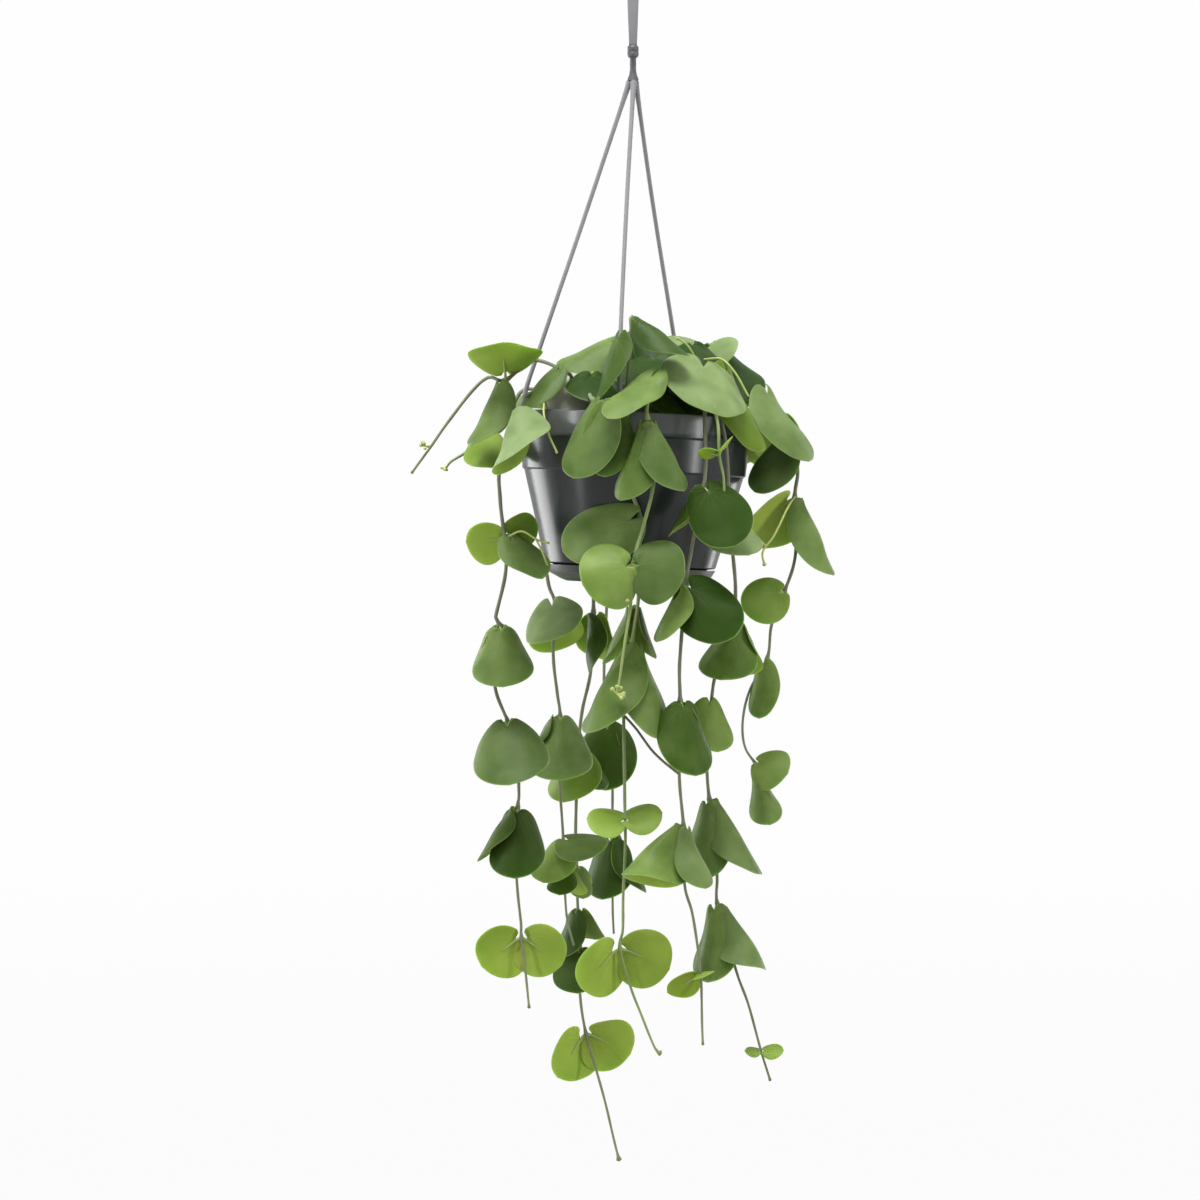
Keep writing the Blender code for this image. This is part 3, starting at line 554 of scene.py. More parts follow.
for strand_name, (rim_angle, way_down) in STRANDS.items():
    clip_frame = pot_frame @ Matrix.Rotation(radians(rim_angle), 4, "Z")
    inner = RIM_RADIUS - RIM_WALL - 1.0
    outer = RIM_RADIUS + 0.3
    top = 3.0
    hang = -RIM_BAND - 0.5
    clip_outline = [
        (inner - CLIP_THICKNESS, -5.0), (inner, -5.0), (inner, 0.3), (outer, 0.3), (outer, hang),
        (outer - 0.9, hang), (outer - 0.9, hang - 1.2), (outer + CLIP_THICKNESS, hang - 1.2),
        (outer + CLIP_THICKNESS, top - 1.0), (outer + 0.4, top), (inner - 0.4, top),
        (inner - CLIP_THICKNESS, top - 1.0),
    ]
    work = bmesh.new()
    low = [work.verts.new((x * MM, -CLIP_WIDTH / 2 * MM, z * MM)) for x, z in clip_outline]
    grown = bmesh.ops.extrude_face_region(work, geom=[work.faces.new(low)])
    moved = [item for item in grown["geom"] if isinstance(item, bmesh.types.BMVert)]
    bmesh.ops.translate(work, verts=moved, vec=(0.0, CLIP_WIDTH * MM, 0.0))
    bmesh.ops.bevel(work, geom=list(work.edges), offset=0.35 * MM, segments=2, affect="EDGES")
    work.transform(clip_frame)
    end = clip_frame @ Vector(((RIM_RADIUS - 2.0) * MM, 0.0, (top - 1.0) * MM)) / MM
    above = clip_frame @ Vector(((RIM_RADIUS - 3.0) * MM, 0.0, (top + 9.0) * MM)) / MM
    points = smooth_route(way_down + [above, end], 6.0)
    radii = [STRAND_RADIUS + 0.7 * exp(-index / 1.5) + 0.9 * exp(-(len(points) - 1 - index) / 1.2)
             for index in range(len(points))]
    sweep(work, points, radii, 20)
    add_piece(f"strand_and_clip_{strand_name}", finish_mesh(work), [hanger_plastic], "hanger_plastic",
              f"hanger_strand_{strand_name}", sharp=50)

# The vines: wiry stems of a trailing dischidia that root in the mix, climb over the rim and hang.
# Each is a list of its route from the mix to its tip in mm, (x, y, z), and after a point the leaves
# that grow there: (direction seen from above, slope, roll, length, width, fold, cup, droop, growth).
# 0 degrees points right and 90 to the back. Fold, cup and droop bend the blade to its underside.
VINES = {
    "a": [
        (-46, -22, None), (-56, -34, -283), (-64, -44, -284),
        (-67, -52, -291, (-108, -48, 48, 42, 58, 40, 6, 4, "pale")), (-79, -50, -324), (-79, -44, -345),
        (-76, -38, -369, (178, -5, 62, 20, 30, 5, 20, 10), (-30, -42, 20, 30, 32, 6, 14, 8)),
        (-76, -34, -388), (-82, -29, -415),
        (-79, -27, -420, (-80, -76, 10, 34, 46, 14, 48, 5), (96, -60, 0, 26, 30, 10, 44, 5)),
        (-83, -25, -441), (-82, -22, -459), (-77, -20, -473),
        (-75, -19, -478, (-86, -58, 12, 39, 50, 6, 30, 8, "ripe"), (75, -60, 0, 30, 36, 10, 45, 5)),
        (-69, -16, -502), (-68, -15, -521),
        (-69, -14, -529, (-98, -76, 0, 39, 42, 10, 52, 5, "deep"), (176, -56, 0, 36, 34, 10, 36, 5, "deep")),
        (-70, -10, -560), (-69, -9, -577), (-67, -8, -598),
        (-67, -8, -607, (184, -38, 74, 25, 36, 3, 16, 4, "soft"), (-4, -36, -74, 25, 37, 3, 16, 4, "soft")),
        (-64, -8, -633), (-62, -8, -649),
    ],
    "b": [
        (-30, 22, None), (-38, 36, -280), (-46, 52, -278), (-54, 62, -298), (-56, 58, -350),
        (-52, 50, -393),
        (-47, 44, -409, (-92, -36, 22, 34, 40, 4, 14, 8, "pale"), (96, -54, -8, 32, 38, 8, 26, 8)),
        (-48, 37, -440), (-46, 33, -462),
        (-44, 30, -476, (-86, -60, 4, 40, 46, 22, 22, 6), (146, -56, 0, 27, 32, 10, 30, 5, "deep")),
        (-44, 28, -505), (-44, 27, -524),
        (-42, 26, -552, (-35, -12, 25, 26, 34, 0, 14, 8), (-130, -52, -10, 26, 32, 8, 24, 8, "soft")),
        (-41, 26, -570), (-40, 26, -597), (-36, 26, -614),
    ],
    "c": [
        (-12, 14, None), (-14, 18, -276),
        (-8, 22, -251, (-168, -22, -26, 36, 36, 10, 24, 12), (110, -10, 0, 34, 40, 8, 30, 15)),
        (-16, 48, -262), (-20, 74, -288), (-24, 72, -330), (-25, 70, -380),
        (-24, 62, -413, (-100, -80, 70, 34, 34, 20, 45, 5, "deep"), (60, -66, 0, 30, 34, 8, 40, 5)),
        (-25, 60, -447), (-31, 58, -473),
        (-33, 57, -496, (-6, -60, 30, 26, 28, 12, 30, 5, "deep"), (-122, -66, 0, 32, 40, 8, 30, 5, "soft")),
        (-34, 55, -524), (-35, 54, -547), (-34, 52, -567), (-33, 50, -592),
        (-32, 48, -618, (-95, -62, 0, 26, 34, 5, 25, 5, "deep"), (85, -55, 0, 28, 34, 5, 25, 5)),
        (-32, 46, -644),
        (-28, 44, -669, (204, -58, 70, 27, 40, 4, 16, 4, "soft"), (8, -26, -66, 26, 42, 8, 20, 4, "soft")),
        (-22, 42, -692), (-15, 40, -717), (-8, 38, -745),
    ],
    "d": [
        (4, 2, None), (4, 0, -268),
        (2, -4, -242, (-168, -70, -10, 42, 40, 24, 24, 5, "dark"), (-14, -38, 6, 38, 44, 30, 24, 8, "dark")),
        (0, 18, -246), (0, 44, -262), (-1, 78, -292), (-10, 86, -340), (-16, 88, -411), (-17, 88, -453),
        (-15, 87, -482, (-96, -70, 0, 38, 42, 5, 28, 5, "deep"), (40, -66, 0, 30, 30, 8, 40, 5, "deep")),
        (-12, 85, -518),
        (-12, 83, -551, (-115, -74, 0, 36, 36, 10, 34, 5, "deep"), (-16, -62, 0, 36, 28, 12, 36, 5, "deep")),
        (-12, 80, -570), (-12, 77, -590), (-11, 74, -610),
    ],
    "e": [
        (10, -20, None), (11, -31, -281), (15, -69, -275, (-135, -30, -14, 43, 29, 4, 14, 12)),
        (11, -74, -282), (8, -80, -290),
        (8, -86, -299, (-148, -71, -16, 46, 36, 34, 20, 4, "ripe"),
         (-22, -63, 14, 43, 38, 32, 20, 4, "ripe")), (12, -86, -325), (11, -85, -341), (7, -86, -357),
        (-1, -91, -384, (184, -22, -74, 27, 44, 6, 18, 8, "soft"), (-4, -12, 74, 27, 42, 6, 18, 8, "ripe")),
        (-2, -90, -409), (-6, -92, -435), (-10, -94, -459),
    ],
    "f": [
        (-22, -30, None), (-26, -52, -284), (-24, -70, -287),
        (-15, -77, -290, (-158, -67, -24, 42, 42, 4, 14, 8, "ripe"),
         (-98, -80, 0, 38, 32, 4, 18, 6, "ripe")), (-9, -75, -315), (-4, -72, -332), (0, -68, -345),
        (4, -67, -357, (180, -24, -66, 43, 40, 4, 16, 4)),
        (3, -66, -392), (2, -66, -408),
        (-1, -66, -430, (-150, -62, 0, 55, 54, 16, 34, 4, "ripe"), (-42, -69, 0, 55, 44, 18, 30, 4)),
        (-6, -66, -470), (-5, -66, -514), (-5, -66, -541), (-6, -64, -575), (-6, -62, -598),
        (-8, -61, -610, (206, -46, 70, 28, 42, 3, 14, 4, "soft"), (-2, -24, -72, 27, 40, 3, 14, 4, "soft")),
        (-2, -59, -633), (5, -58, -650), (13, -57, -669), (16, -56, -672),
    ],
    "g": [
        (30, -14, None), (33, -24, -278), (39, -40, -267, (-88, -35, -24, 43, 58, 2, 12, 10, "pale")),
        (42, -56, -283), (42, -72, -296),
        (41, -77, -338, (-36, -58, 44, 37, 40, 4, 22, 8, "dark"), (176, -58, 0, 32, 24, 12, 50, 5, "deep")),
        (34, -77, -375),
        (30, -77, -396, (-20, -45, 60, 38, 40, 4, 20, 6, "dark"), (-156, -66, 0, 33, 32, 12, 26, 6)),
        (28, -76, -430), (27, -75, -447),
        (27, -74, -464, (-62, -70, 0, 42, 40, 8, 36, 5, "deep"), (84, -60, 0, 26, 30, 8, 40, 5, "deep")),
        (27, -73, -505),
        (29, -72, -537, (-168, -38, 6, 42, 66, 58, 28, 5), (-50, -64, 0, 37, 30, 36, 24, 5)),
        (30, -71, -571), (35, -70, -590), (39, -69, -624), (40, -68, -640), (41, -68, -666),
    ],
    "h": [
        (42, -4, None), (50, -13, -281), (49, -28, -268, (-42, -60, -10, 52, 42, 8, 18, 8, "green")),
        (52, -38, -283), (51, -51, -292), (54, -60, -312), (56, -57, -338), (58, -54, -370),
        (60, -51, -399),
        (59, -50, -418, (-116, -64, -8, 34, 44, 30, 14, 4), (60, -64, 0, 32, 36, 8, 40, 5)),
        (53, -47, -437), (47, -45, -455), (44, -42, -490), (44, -41, -508),
        (45, -40, -523, (-108, -80, 0, 43, 34, 20, 36, 5), (-12, -57, 0, 49, 44, 50, 22, 4)),
        (48, -39, -545), (50, -38, -569),
        (50, -38, -585, (-116, -76, 0, 43, 36, 24, 34, 5), (-16, -54, 0, 44, 44, 54, 20, 4)),
        (57, -37, -612), (62, -36, -628), (69, -36, -646), (76, -35, -674), (81, -35, -690),
    ],
    "i": [
        (46, 8, None), (54, 8, -282), (61, 6, -273), (74, -3, -280, (-32, -52, 0, 49, 46, 6, 24, 8)),
        (88, -2, -293), (96, -5, -312, (-168, -54, -40, 32, 32, 4, 12, 5)), (99, -6, -328),
        (97, -6, -344, (-22, -66, 0, 47, 40, 28, 28, 4), (186, -46, 44, 34, 46, 6, 22, 4)), (97, -6, -378),
        (91, -6, -400, (-172, -24, -70, 24, 30, 3, 14, 6, "soft")), (83, -6, -420),
        (80, -6, -440, (-112, -76, 10, 33, 24, 16, 24, 4)), (70, -5, -459), (66, -5, -478), (67, -5, -493),
        (73, -5, -503, (-58, -66, 30, 36, 30, 56, 16, 4), (-24, -16, 54, 19, 30, 6, 16, 10, "soft")),
    ],
    "j": [
        (-30, -18, None), (-36, -28, -274), (-41, -34, -269, (-150, -44, -16, 30, 22, 8, 14, 8, "ripe")),
        (-60, -22, -262),
        (-76, -26, -274, (-92, 22, 2, 33, 46, -2, -16, 0, "soft"), (-144, -60, 0, 42, 36, 14, 36, 5)),
        (-86, -18, -272), (-97, -14, -281), (-112, -14, -300), (-122, -14, -315), (-132, -14, -329),
    ],
    "k": [
        (-46, 16, None), (-56, 20, -280), (-68, 20, -280), (-78, 16, -301), (-92, 8, -310), (-101, 4, -317),
        (-109, 2, -322), (-113, 2, -327),
    ],
    "m": [
        (38, -22, None), (42, -40, -278), (46, -70, -288), (49, -77, -302), (50, -78, -320),
        (53, -79, -334), (53, -79, -350),
    ],
    "n": [
        (-6, -50, None), (-3, -60, -272), (-2, -62, -252),
        (-2, -63, -239, (-14, -33, 4, 38, 32, 26, 40, 8, "deep")), (-1, -62, -237),
    ],
    "l": [
        (22, 18, None), (27, 15, -272),
        (32, 8, -262, (95, 26, 0, 31, 40, 4, 20, 12, "pale"), (150, 10, 0, 30, 34, 8, 24, 12)),
        (38, 0, -262, (-8, 20, 44, 24, 26, 6, 16, 4, "pale")), (48, 10, -260), (64, 30, -274),
        (62, 60, -290, (20, -60, 0, 38, 42, 8, 36, 6), (100, -58, 0, 38, 42, 8, 36, 6)), (64, 64, -312),
        (64, 64, -345),
    ],
}
# Leaves that grow from the same stems between the ones above: their place, and each leaf as above
MORE_LEAVES = {
    "crown_b": ((-46, 52, -278), (150, -15, 0, 36, 40, 8, 30, 12), (66, -10, 0, 38, 42, 8, 30, 10)),
    "crown_d": ((0, 44, -262), (160, -30, 0, 34, 40, 8, 30, 8), (104, -30, 0, 38, 42, 8, 30, 10)),
    "crown_f": ((-26, -30, -272), (-80, -34, -10, 28, 34, 6, 20, 8, "dark"),
        (100, -20, 0, 32, 36, 8, 30, 8)),
    "crown_g": ((33, -10, -270), (-70, -60, 0, 30, 34, 8, 30, 8, "deep"),
        (110, -30, 0, 34, 38, 8, 30, 8, "deep")),
    "crown_i": ((52, 6, -272), (-95, -56, 0, 30, 34, 8, 30, 8, "deep"),
        (80, -30, 0, 34, 38, 8, 30, 8, "deep")),
    "crown_k": ((-50, 18, -276), (-50, -20, 0, 26, 32, 8, 20, 8), (50, -10, 0, 34, 38, 8, 30, 8)),
    "inner_c": ((-14, 16, -268), (-70, -40, 0, 28, 32, 8, 30, 8, "deep"),
        (60, -20, 0, 34, 38, 8, 30, 8, "deep")),
    "old_b": ((-38, -42, -298), (90, 60, 0, 29, 32, 4, 34, 12, "old")),
    "crown_l": ((34, -6, -253), (-72, -32, 0, 30, 46, 8, 24, 8, "dark")),
    "crown_n": ((-4, -62, -248), (-156, -69, 2, 40, 30, 10, 16, 5, "deep")),
    "mid_a": ((-76, -38, -367), (16, 14, -62, 18, 26, 3, 12, 4, "deep")),
    "shoot_m": ((50, -78, -320), (-152, 6, 30, 11, 12, 6, 16, 5, "lime"),
        (-30, 46, 20, 12, 11, 6, 16, 5, "lime")),
    "inner_e": ((12, -22, -262), (-92, -34, 0, 30, 50, 4, 16, 8, "dark")),
    "crown_e": ((12, -30, -276), (-100, -60, 0, 26, 30, 8, 30, 6, "deep"),
        (-30, -50, 0, 30, 32, 8, 30, 6, "deep")),
    "mid_b": ((-41, 26, -568), (-112, -60, 0, 15, 22, 8, 34, 5, "deep"), (60, -50, 0, 20, 22, 5, 30, 5)),
    "mid_c": ((-33, 52, -568), (-70, -70, 0, 18, 18, 10, 36, 5), (100, -60, 0, 18, 20, 5, 30, 5)),
    "low_c": ((-33, 50, -594), (-130, -66, 0, 28, 26, 12, 34, 5, "deep"),
        (60, -50, 0, 24, 28, 8, 30, 5, "deep")),
    "small_b": ((-44, 28, -506), (174, -16, 30, 12, 16, 6, 16, 5, "soft")),
    "high_f": ((1, -60, -408), (160, -64, 0, 36, 26, 14, 36, 5), (24, -72, 0, 30, 26, 14, 40, 5, "deep")),
    "lime_f": ((-5, -66, -537), (180, 4, -40, 19, 26, 0, 12, 4, "lime"),
        (2, 12, 40, 19, 26, 0, 12, 4, "lime")),
    "low_g": ((39, -69, -626), (182, -30, 46, 18, 21, 5, 20, 5, "lime"),
        (-70, 0, 20, 10, 14, 0, 12, 5, "lime")),
    "mid_h": ((43, -45, -463), (-62, -70, 0, 30, 34, 10, 30, 5, "soft")),
    "high_h": ((52, -56, -356), (-48, -46, 10, 28, 40, 6, 24, 6, "pale")),
    "tip_h": ((76, -35, -674), (184, 2, -34, 8, 10, 5, 20, 5, "lime"),
        (-4, 4, 40, 11, 13, 5, 20, 5, "lime")),
    "low_k": ((-87, 10, -306), (-86, -32, 0, 36, 34, 8, 30, 8, "young")),
    "back_l": ((45, 8, -253), (-32, -48, 30, 41, 46, 10, 28, 6, "dark")),
    "back_i": ((88, 8, -294), (80, -50, 0, 34, 38, 8, 36, 6), (24, -60, 0, 28, 30, 8, 36, 6, "deep")),
}
DRY_LEAVES = ("leaves_old_b",)
# growth of a leaf: how young it is, how waxy its bloom and how dark its green. The bloom is partly a painted
# sheen on the pale top leaves. The darker green of the deep and dark leaves, which sit in shade, is partly
# their own and partly painted shade
GROWTH = {
    "full": (0.0, 0.3, 0.15), "pale": (0.05, 0.85, 0.0), "green": (0.7, 0.0, 0.45), "ripe": (0.0, 0.15, 0.4),
    "deep": (0.0, 0.0, 0.72), "dark": (0.0, 0.0, 0.95), "soft": (0.35, 0.25, 0.0), "young": (0.65, 0.2, 0.0),
    "lime": (1.0, 0.4, 0.0), "old": (0.0, 2.0, 0.0),
}
STEM_RADIUS = 1.2
TIP_RADIUS = 0.7
NODE_SWELL = 0.75           # of the stem's radius where leaves grow
STEM_STEP = 2.5
STEM_START = 0.4
STEM_RISE = 4.0
STEM_PATCH = 11.1           # across a patch of its colour
RIDGE_WIDTH = 1.11          # coarser than the real ridges, so that they show
RIDGE_SQUEEZE = 0.2         # of the pattern, upright
# youth of each vine's stem at its root and at its tip
STEM_YOUTH = {"a": (0.1, 0.45), "b": (0.1, 0.5), "c": (0.1, 0.5), "d": (0.05, 0.4), "e": (0.7, 1.0),
              "f": (0.4, 1.0), "g": (0.15, 0.45), "h": (0.1, 0.35), "i": (0.1, 0.3), "j": (0.2, 0.5),
              "k": (0.2, 0.6), "l": (0.1, 0.4), "m": (0.8, 1.0), "n": (0.2, 0.5)}
# radius of the rounded tip where a vine ends in a growing knob
KNOBS = {"a": 1.1, "c": 1.8, "f": 1.9, "g": 0.9, "h": 1.0, "j": 1.0, "k": 1.0, "m": 1.0}


def mix_height(x):
    """Height of the tilted mix at a distance to the right of the hanger's line."""
    turn = radians(POT_TILT)
    return RIM_CENTRE[2] - MIX_DEPTH / cos(turn) - (x - RIM_CENTRE[0]) * tan(turn)


# Stem skin: a thin bark, olive and smooth near the tip and grey brown with fine ridges lower down
stem_skin, tree, shader = start_material("vine_stem_skin", Roughness=0.6)
youth = add(tree, "ShaderNodeAttribute", attribute_name="youth").outputs["Fac"]
place = add(tree, "ShaderNodeTexCoord").outputs["Object"]
sockets = {"Vector": place, "Scale": (1.0, 1.0, RIDGE_SQUEEZE)}
tall = add(tree, "ShaderNodeMapping", sockets).outputs["Vector"]
ridges = add(tree, "ShaderNodeTexNoise", {"Vector": tall, "Scale": 1 / (RIDGE_WIDTH * MM), "Detail": 3.0})
patch = add(tree, "ShaderNodeTexNoise", {"Vector": place, "Scale": 1 / (STEM_PATCH * MM), "Detail": 4.0})
tones = []
for low, high in (("#57574A", "#86867A"), ("#7E9450", "#9BAE6B")):
    sockets = {"Factor": patch.outputs["Fac"], 6: linear(low), 7: linear(high)}
    tones.append(add(tree, "ShaderNodeMix", sockets, data_type="RGBA").outputs[2])
bark, green = tones
tone = add(tree, "ShaderNodeMix", {"Factor": youth, 6: bark, 7: green}, data_type="RGBA").outputs[2]
tree.links.new(tone, shader.inputs["Base Color"])
relief = add(tree, "ShaderNodeBump", {"Height": ridges.outputs["Fac"], "Strength": 0.25,
                                      "Distance": 0.3 * MM})
tree.links.new(relief.outputs["Normal"], shader.inputs["Normal"])


def in_frame(node):
    """The node's name in a list, or an empty list if the frame has no such node."""
    return [node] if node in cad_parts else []


routes = {}
for vine_name, rows in VINES.items():
    places = []
    for x, y, z, *_ in rows:
        places.append(Vector((x, y, mix_height(x) + STEM_START + STEM_RISE if z is None else z)))
    root = places[0] - Vector((0.0, 0.0, STEM_RISE + 1.5))
    path = smooth_route([root] + places, STEM_STEP)
    nodes = [places[index] for index, row in enumerate(rows) if len(row) > 3]
    dice = random.Random(vine_name)
    phase = [dice.uniform(0, 2 * pi) for _ in range(4)]
    start, end = STEM_YOUTH[vine_name]
    radii, values = [], []
    for index, point in enumerate(path):
        share = index / (len(path) - 1)
        radius = STEM_RADIUS + (TIP_RADIUS - STEM_RADIUS) * share ** 2
        swell = sum(exp(-((point - node).length / 2.2) ** 2) for node in nodes)
        radius *= 1 + NODE_SWELL * min(swell, 1.0) + 0.05 * sin(index * 0.9 + phase[0])
        left_over = (len(path) - 1 - index) * STEM_STEP
        radius = max(radius, KNOBS.get(vine_name, 0.0) * exp(-(left_over / 3.2) ** 2))
        radii.append(radius)
        values.append(start + (end - start) * share ** 1.5)
    wander = [Vector((sin(index * 0.21 + phase[1]), sin(index * 0.17 + phase[2]), 0.0)) * 0.35
              for index in range(len(path))]
    work = bmesh.new()
    layer = work.verts.layers.float.new("youth")
    sweep(work, [point + shift for point, shift in zip(path, wander)], radii, 10, values, layer)
    add_piece(f"stem_{vine_name}", finish_mesh(work), [stem_skin], "stem",
              *in_frame(f"vine_{vine_name}_stem"))
    routes[vine_name] = places

# The leaves: thick waxy blades, kidney to heart shaped, that cup over like shells. The upper skin is
# grey green with a faint bloom, the lower skin yellow green, and a pale petiole runs on below the
# blade as its midrib. Each pair shares a node, and every blade is a closed fleshy solid.
LEAF_THICKNESS = 1.15
LOBE = 0.34
NOTCH = 6.0                 # degrees round the blade's middle in which the lobes round off
SINUS = 172.0               # where the margin stops on each side of the notch
SINUS_EASE = 7.0            # degrees in which the blade thins to it
RAYS = 53
RINGS = (0.06, 0.14, 0.24, 0.35, 0.46, 0.57, 0.67, 0.76, 0.84, 0.9, 0.95, 0.985, 1.0)
PETIOLE = 0.20
PETIOLE_RISE = 42.0
PETIOLE_RADIUS = 0.85
CREASE = 3.0
RIPPLES = ((2, 1, 1.0), (3, 2, 0.55), (5, 3, 0.25))     # waves round the margin, phase, height
DENTS = 2.3                 # of a big blade's surface, up and down
HOOD = (1.7, 0.4)           # of fold and cup, at the foot and at the tip
VEIN_SPACING = 0.56         # radians between the main veins at the leaf's foot
VEIN_BEND = 0.42            # how fast they turn to the tip
VEIN_WIDTH = (0.006, 0.03)  # of a vein's full depth and of its foot, of the leaf's length
MARGIN_START = 0.975        # of the way from the foot to the edge
MARGIN_TONE = "#A9B87A"
LEAF_PATCH = 18.2           # across a patch of the skin's colour
PORE_SIZE = 1.11            # coarser than the real pores, so that they break up the shine
PORE_HEIGHT = 0.12          # of a vein's
PETIOLE_PATCH = 3.33
DRY_PATCH = 6.25


def leaf_material(name, tones, deep_and_shade_tone, vein_tone, vein_most, youth_tones, bloom_and_sheen_tone, bloom_and_sheen_most, gloss,
                  vein_height):
    """A leaf skin: two tones in patches, veins, a paler margin, and young and deep greens by growth, the
    deep green partly painted shade.
    """
    made, tree, shader = start_material(name, IOR=1.42, Specular_IOR_Level=0.2, Subsurface_Weight=0.45,
                                        Subsurface_Scale=0.0025)
    shader.inputs["Subsurface Radius"].default_value = (0.6, 1.0, 0.25)
    plan = add(tree, "ShaderNodeAttribute", attribute_name="plan").outputs["Vector"]
    growth = add(tree, "ShaderNodeAttribute", attribute_name="growth").outputs["Vector"]
    beside, along, edge = add(tree, "ShaderNodeSeparateXYZ", {0: plan}).outputs
    youth, bloom, depth = add(tree, "ShaderNodeSeparateXYZ", {0: growth}).outputs
    flat = add(tree, "ShaderNodeCombineXYZ", {0: beside, 1: along}).outputs[0]
    reach = add(tree, "ShaderNodeVectorMath", {0: flat}, operation="LENGTH").outputs["Value"]
    # veins fan out from the blade's foot and bend towards its tip
    turn = add(tree, "ShaderNodeMath", {0: beside, 1: along}, operation="ARCTAN2").outputs[0]
    straight = add(tree, "ShaderNodeMath", {0: reach, 1: -VEIN_BEND, 2: 1.0},
                   operation="MULTIPLY_ADD").outputs[0]
    start = add(tree, "ShaderNodeMath", {0: turn, 1: straight}, operation="DIVIDE").outputs[0]
    count = add(tree, "ShaderNodeMath", {0: start, 1: VEIN_SPACING}, operation="DIVIDE").outputs[0]
    nearest = add(tree, "ShaderNodeMath", {0: count, 1: 0.5}, operation="PINGPONG").outputs[0]
    away = add(tree, "ShaderNodeMath", {0: nearest, 1: reach}, operation="MULTIPLY").outputs[0]
    vein = add(tree, "ShaderNodeMapRange", {"Value": away, "From Min": VEIN_WIDTH[0],
                                            "From Max": VEIN_WIDTH[1], "To Min": 1.0, "To Max": 0.0},
               interpolation_type="SMOOTHSTEP").outputs["Result"]
    thin = add(tree, "ShaderNodeMapRange", {"Value": reach, "From Min": 0.15, "From Max": 0.75,
                                            "To Min": 1.0, "To Max": 0.15}).outputs["Result"]
    vein = add(tree, "ShaderNodeMath", {0: vein, 1: thin}, operation="MULTIPLY").outputs[0]
    vein_share = add(tree, "ShaderNodeMath", {0: vein, 1: vein_most}, operation="MULTIPLY").outputs[0]
    # the adult and the young green each come in patches, and the bloom is thicker on some of them. On the
    # pale top
    # leaves the bloom also paints a sheen: a painted highlight for the light they catch
    place = add(tree, "ShaderNodeTexCoord").outputs["Object"]
    sockets = {"Vector": place, "Scale": 1 / (LEAF_PATCH * MM), "Detail": 4.0}
    patch = add(tree, "ShaderNodeTexNoise", sockets).outputs["Fac"]
    sockets = {"Value": patch, "From Min": 0.32, "From Max": 0.68}
    spread = add(tree, "ShaderNodeMapRange", sockets).outputs["Result"]
    adult, young = (add(tree, "ShaderNodeMix", {"Factor": spread, 6: linear(low), 7: linear(high)},
                        data_type="RGBA").outputs[2] for low, high in (tones, youth_tones))
    # painted highlight: the grey bloom mixed into the colour also stands in for the sheen of the top leaves
    # in the light
    bloom_and_sheen = add(tree, "ShaderNodeMapRange", {"Value": patch, "From Min": 0.3, "From Max": 0.7, "To Min": 0.6,
                                            "To Max": 1.0}).outputs["Result"]
    bloom_and_sheen = add(tree, "ShaderNodeMath", {0: bloom_and_sheen, 1: bloom}, operation="MULTIPLY").outputs[0]
    bloom_and_sheen = add(tree, "ShaderNodeMath", {0: bloom_and_sheen, 1: bloom_and_sheen_most}, operation="MULTIPLY").outputs[0]
    margin = add(tree, "ShaderNodeMapRange", {"Value": edge, "From Min": MARGIN_START, "To Max": 0.5},
                 interpolation_type="SMOOTHSTEP").outputs["Result"]
    tone = adult
    # the deep green is partly the leaf's own and partly painted shade on the leaves that sit in shade
    for share, over in ((youth, young), (depth, linear(deep_and_shade_tone)), (bloom_and_sheen, linear(bloom_and_sheen_tone)),
                        (vein_share, linear(vein_tone)), (margin, linear(MARGIN_TONE))):
        tone = add(tree, "ShaderNodeMix", {"Factor": share, 6: tone, 7: over}, data_type="RGBA").outputs[2]
    tree.links.new(tone, shader.inputs["Base Color"])
    rough = add(tree, "ShaderNodeMapRange", {"Value": patch, "From Min": 0.3, "From Max": 0.7,
                                             "To Min": gloss[0], "To Max": gloss[1]}).outputs["Result"]
    tree.links.new(rough, shader.inputs["Roughness"])
    sockets = {"Vector": place, "Scale": 1 / (PORE_SIZE * MM), "Detail": 2.0}
    pores = add(tree, "ShaderNodeTexNoise", sockets).outputs["Fac"]
    pores = add(tree, "ShaderNodeMath", {0: pores, 1: PORE_HEIGHT}, operation="MULTIPLY").outputs[0]
    height = add(tree, "ShaderNodeMath", {0: vein, 1: vein_height, 2: pores},
                 operation="MULTIPLY_ADD").outputs[0]
    relief = add(tree, "ShaderNodeBump", {"Height": height, "Strength": 0.5, "Distance": 0.6 * MM})
    tree.links.new(relief.outputs["Normal"], shader.inputs["Normal"])
    return made


# The living skin: light sinks into it and glows back green. Above it has a grey wax bloom that dulls its
# shine, laid on thick on the pale top leaves as a painted sheen, and below it is paler and the veins stand
# out. The deep green that darkens the leaves in shade is partly painted shade.
upper_skin = leaf_material("dischidia_upper_skin", ("#577224", "#778F42"), "#1F3C04", "#7F9654", 0.06,
                           ("#7C9A24", "#90AC30"), "#9CAA8E", 0.5, (0.36, 0.50), -0.25)
lower_skin = leaf_material("dischidia_lower_skin", ("#9FB548", "#ADC254"), "#62782A", "#B0C068", 0.35,
                           ("#8CA82C", "#A0B83A"), "#A2AE80", 0.2, (0.45, 0.6), 0.7)
# Petioles: smooth, pale and a little see-through
petiole_skin = mottled("dischidia_petiole_skin", PETIOLE_PATCH, 3.0, "#8FA455", "#B4C47C", Roughness=0.5,
                       Subsurface_Weight=0.15, Subsurface_Scale=0.001)[0]
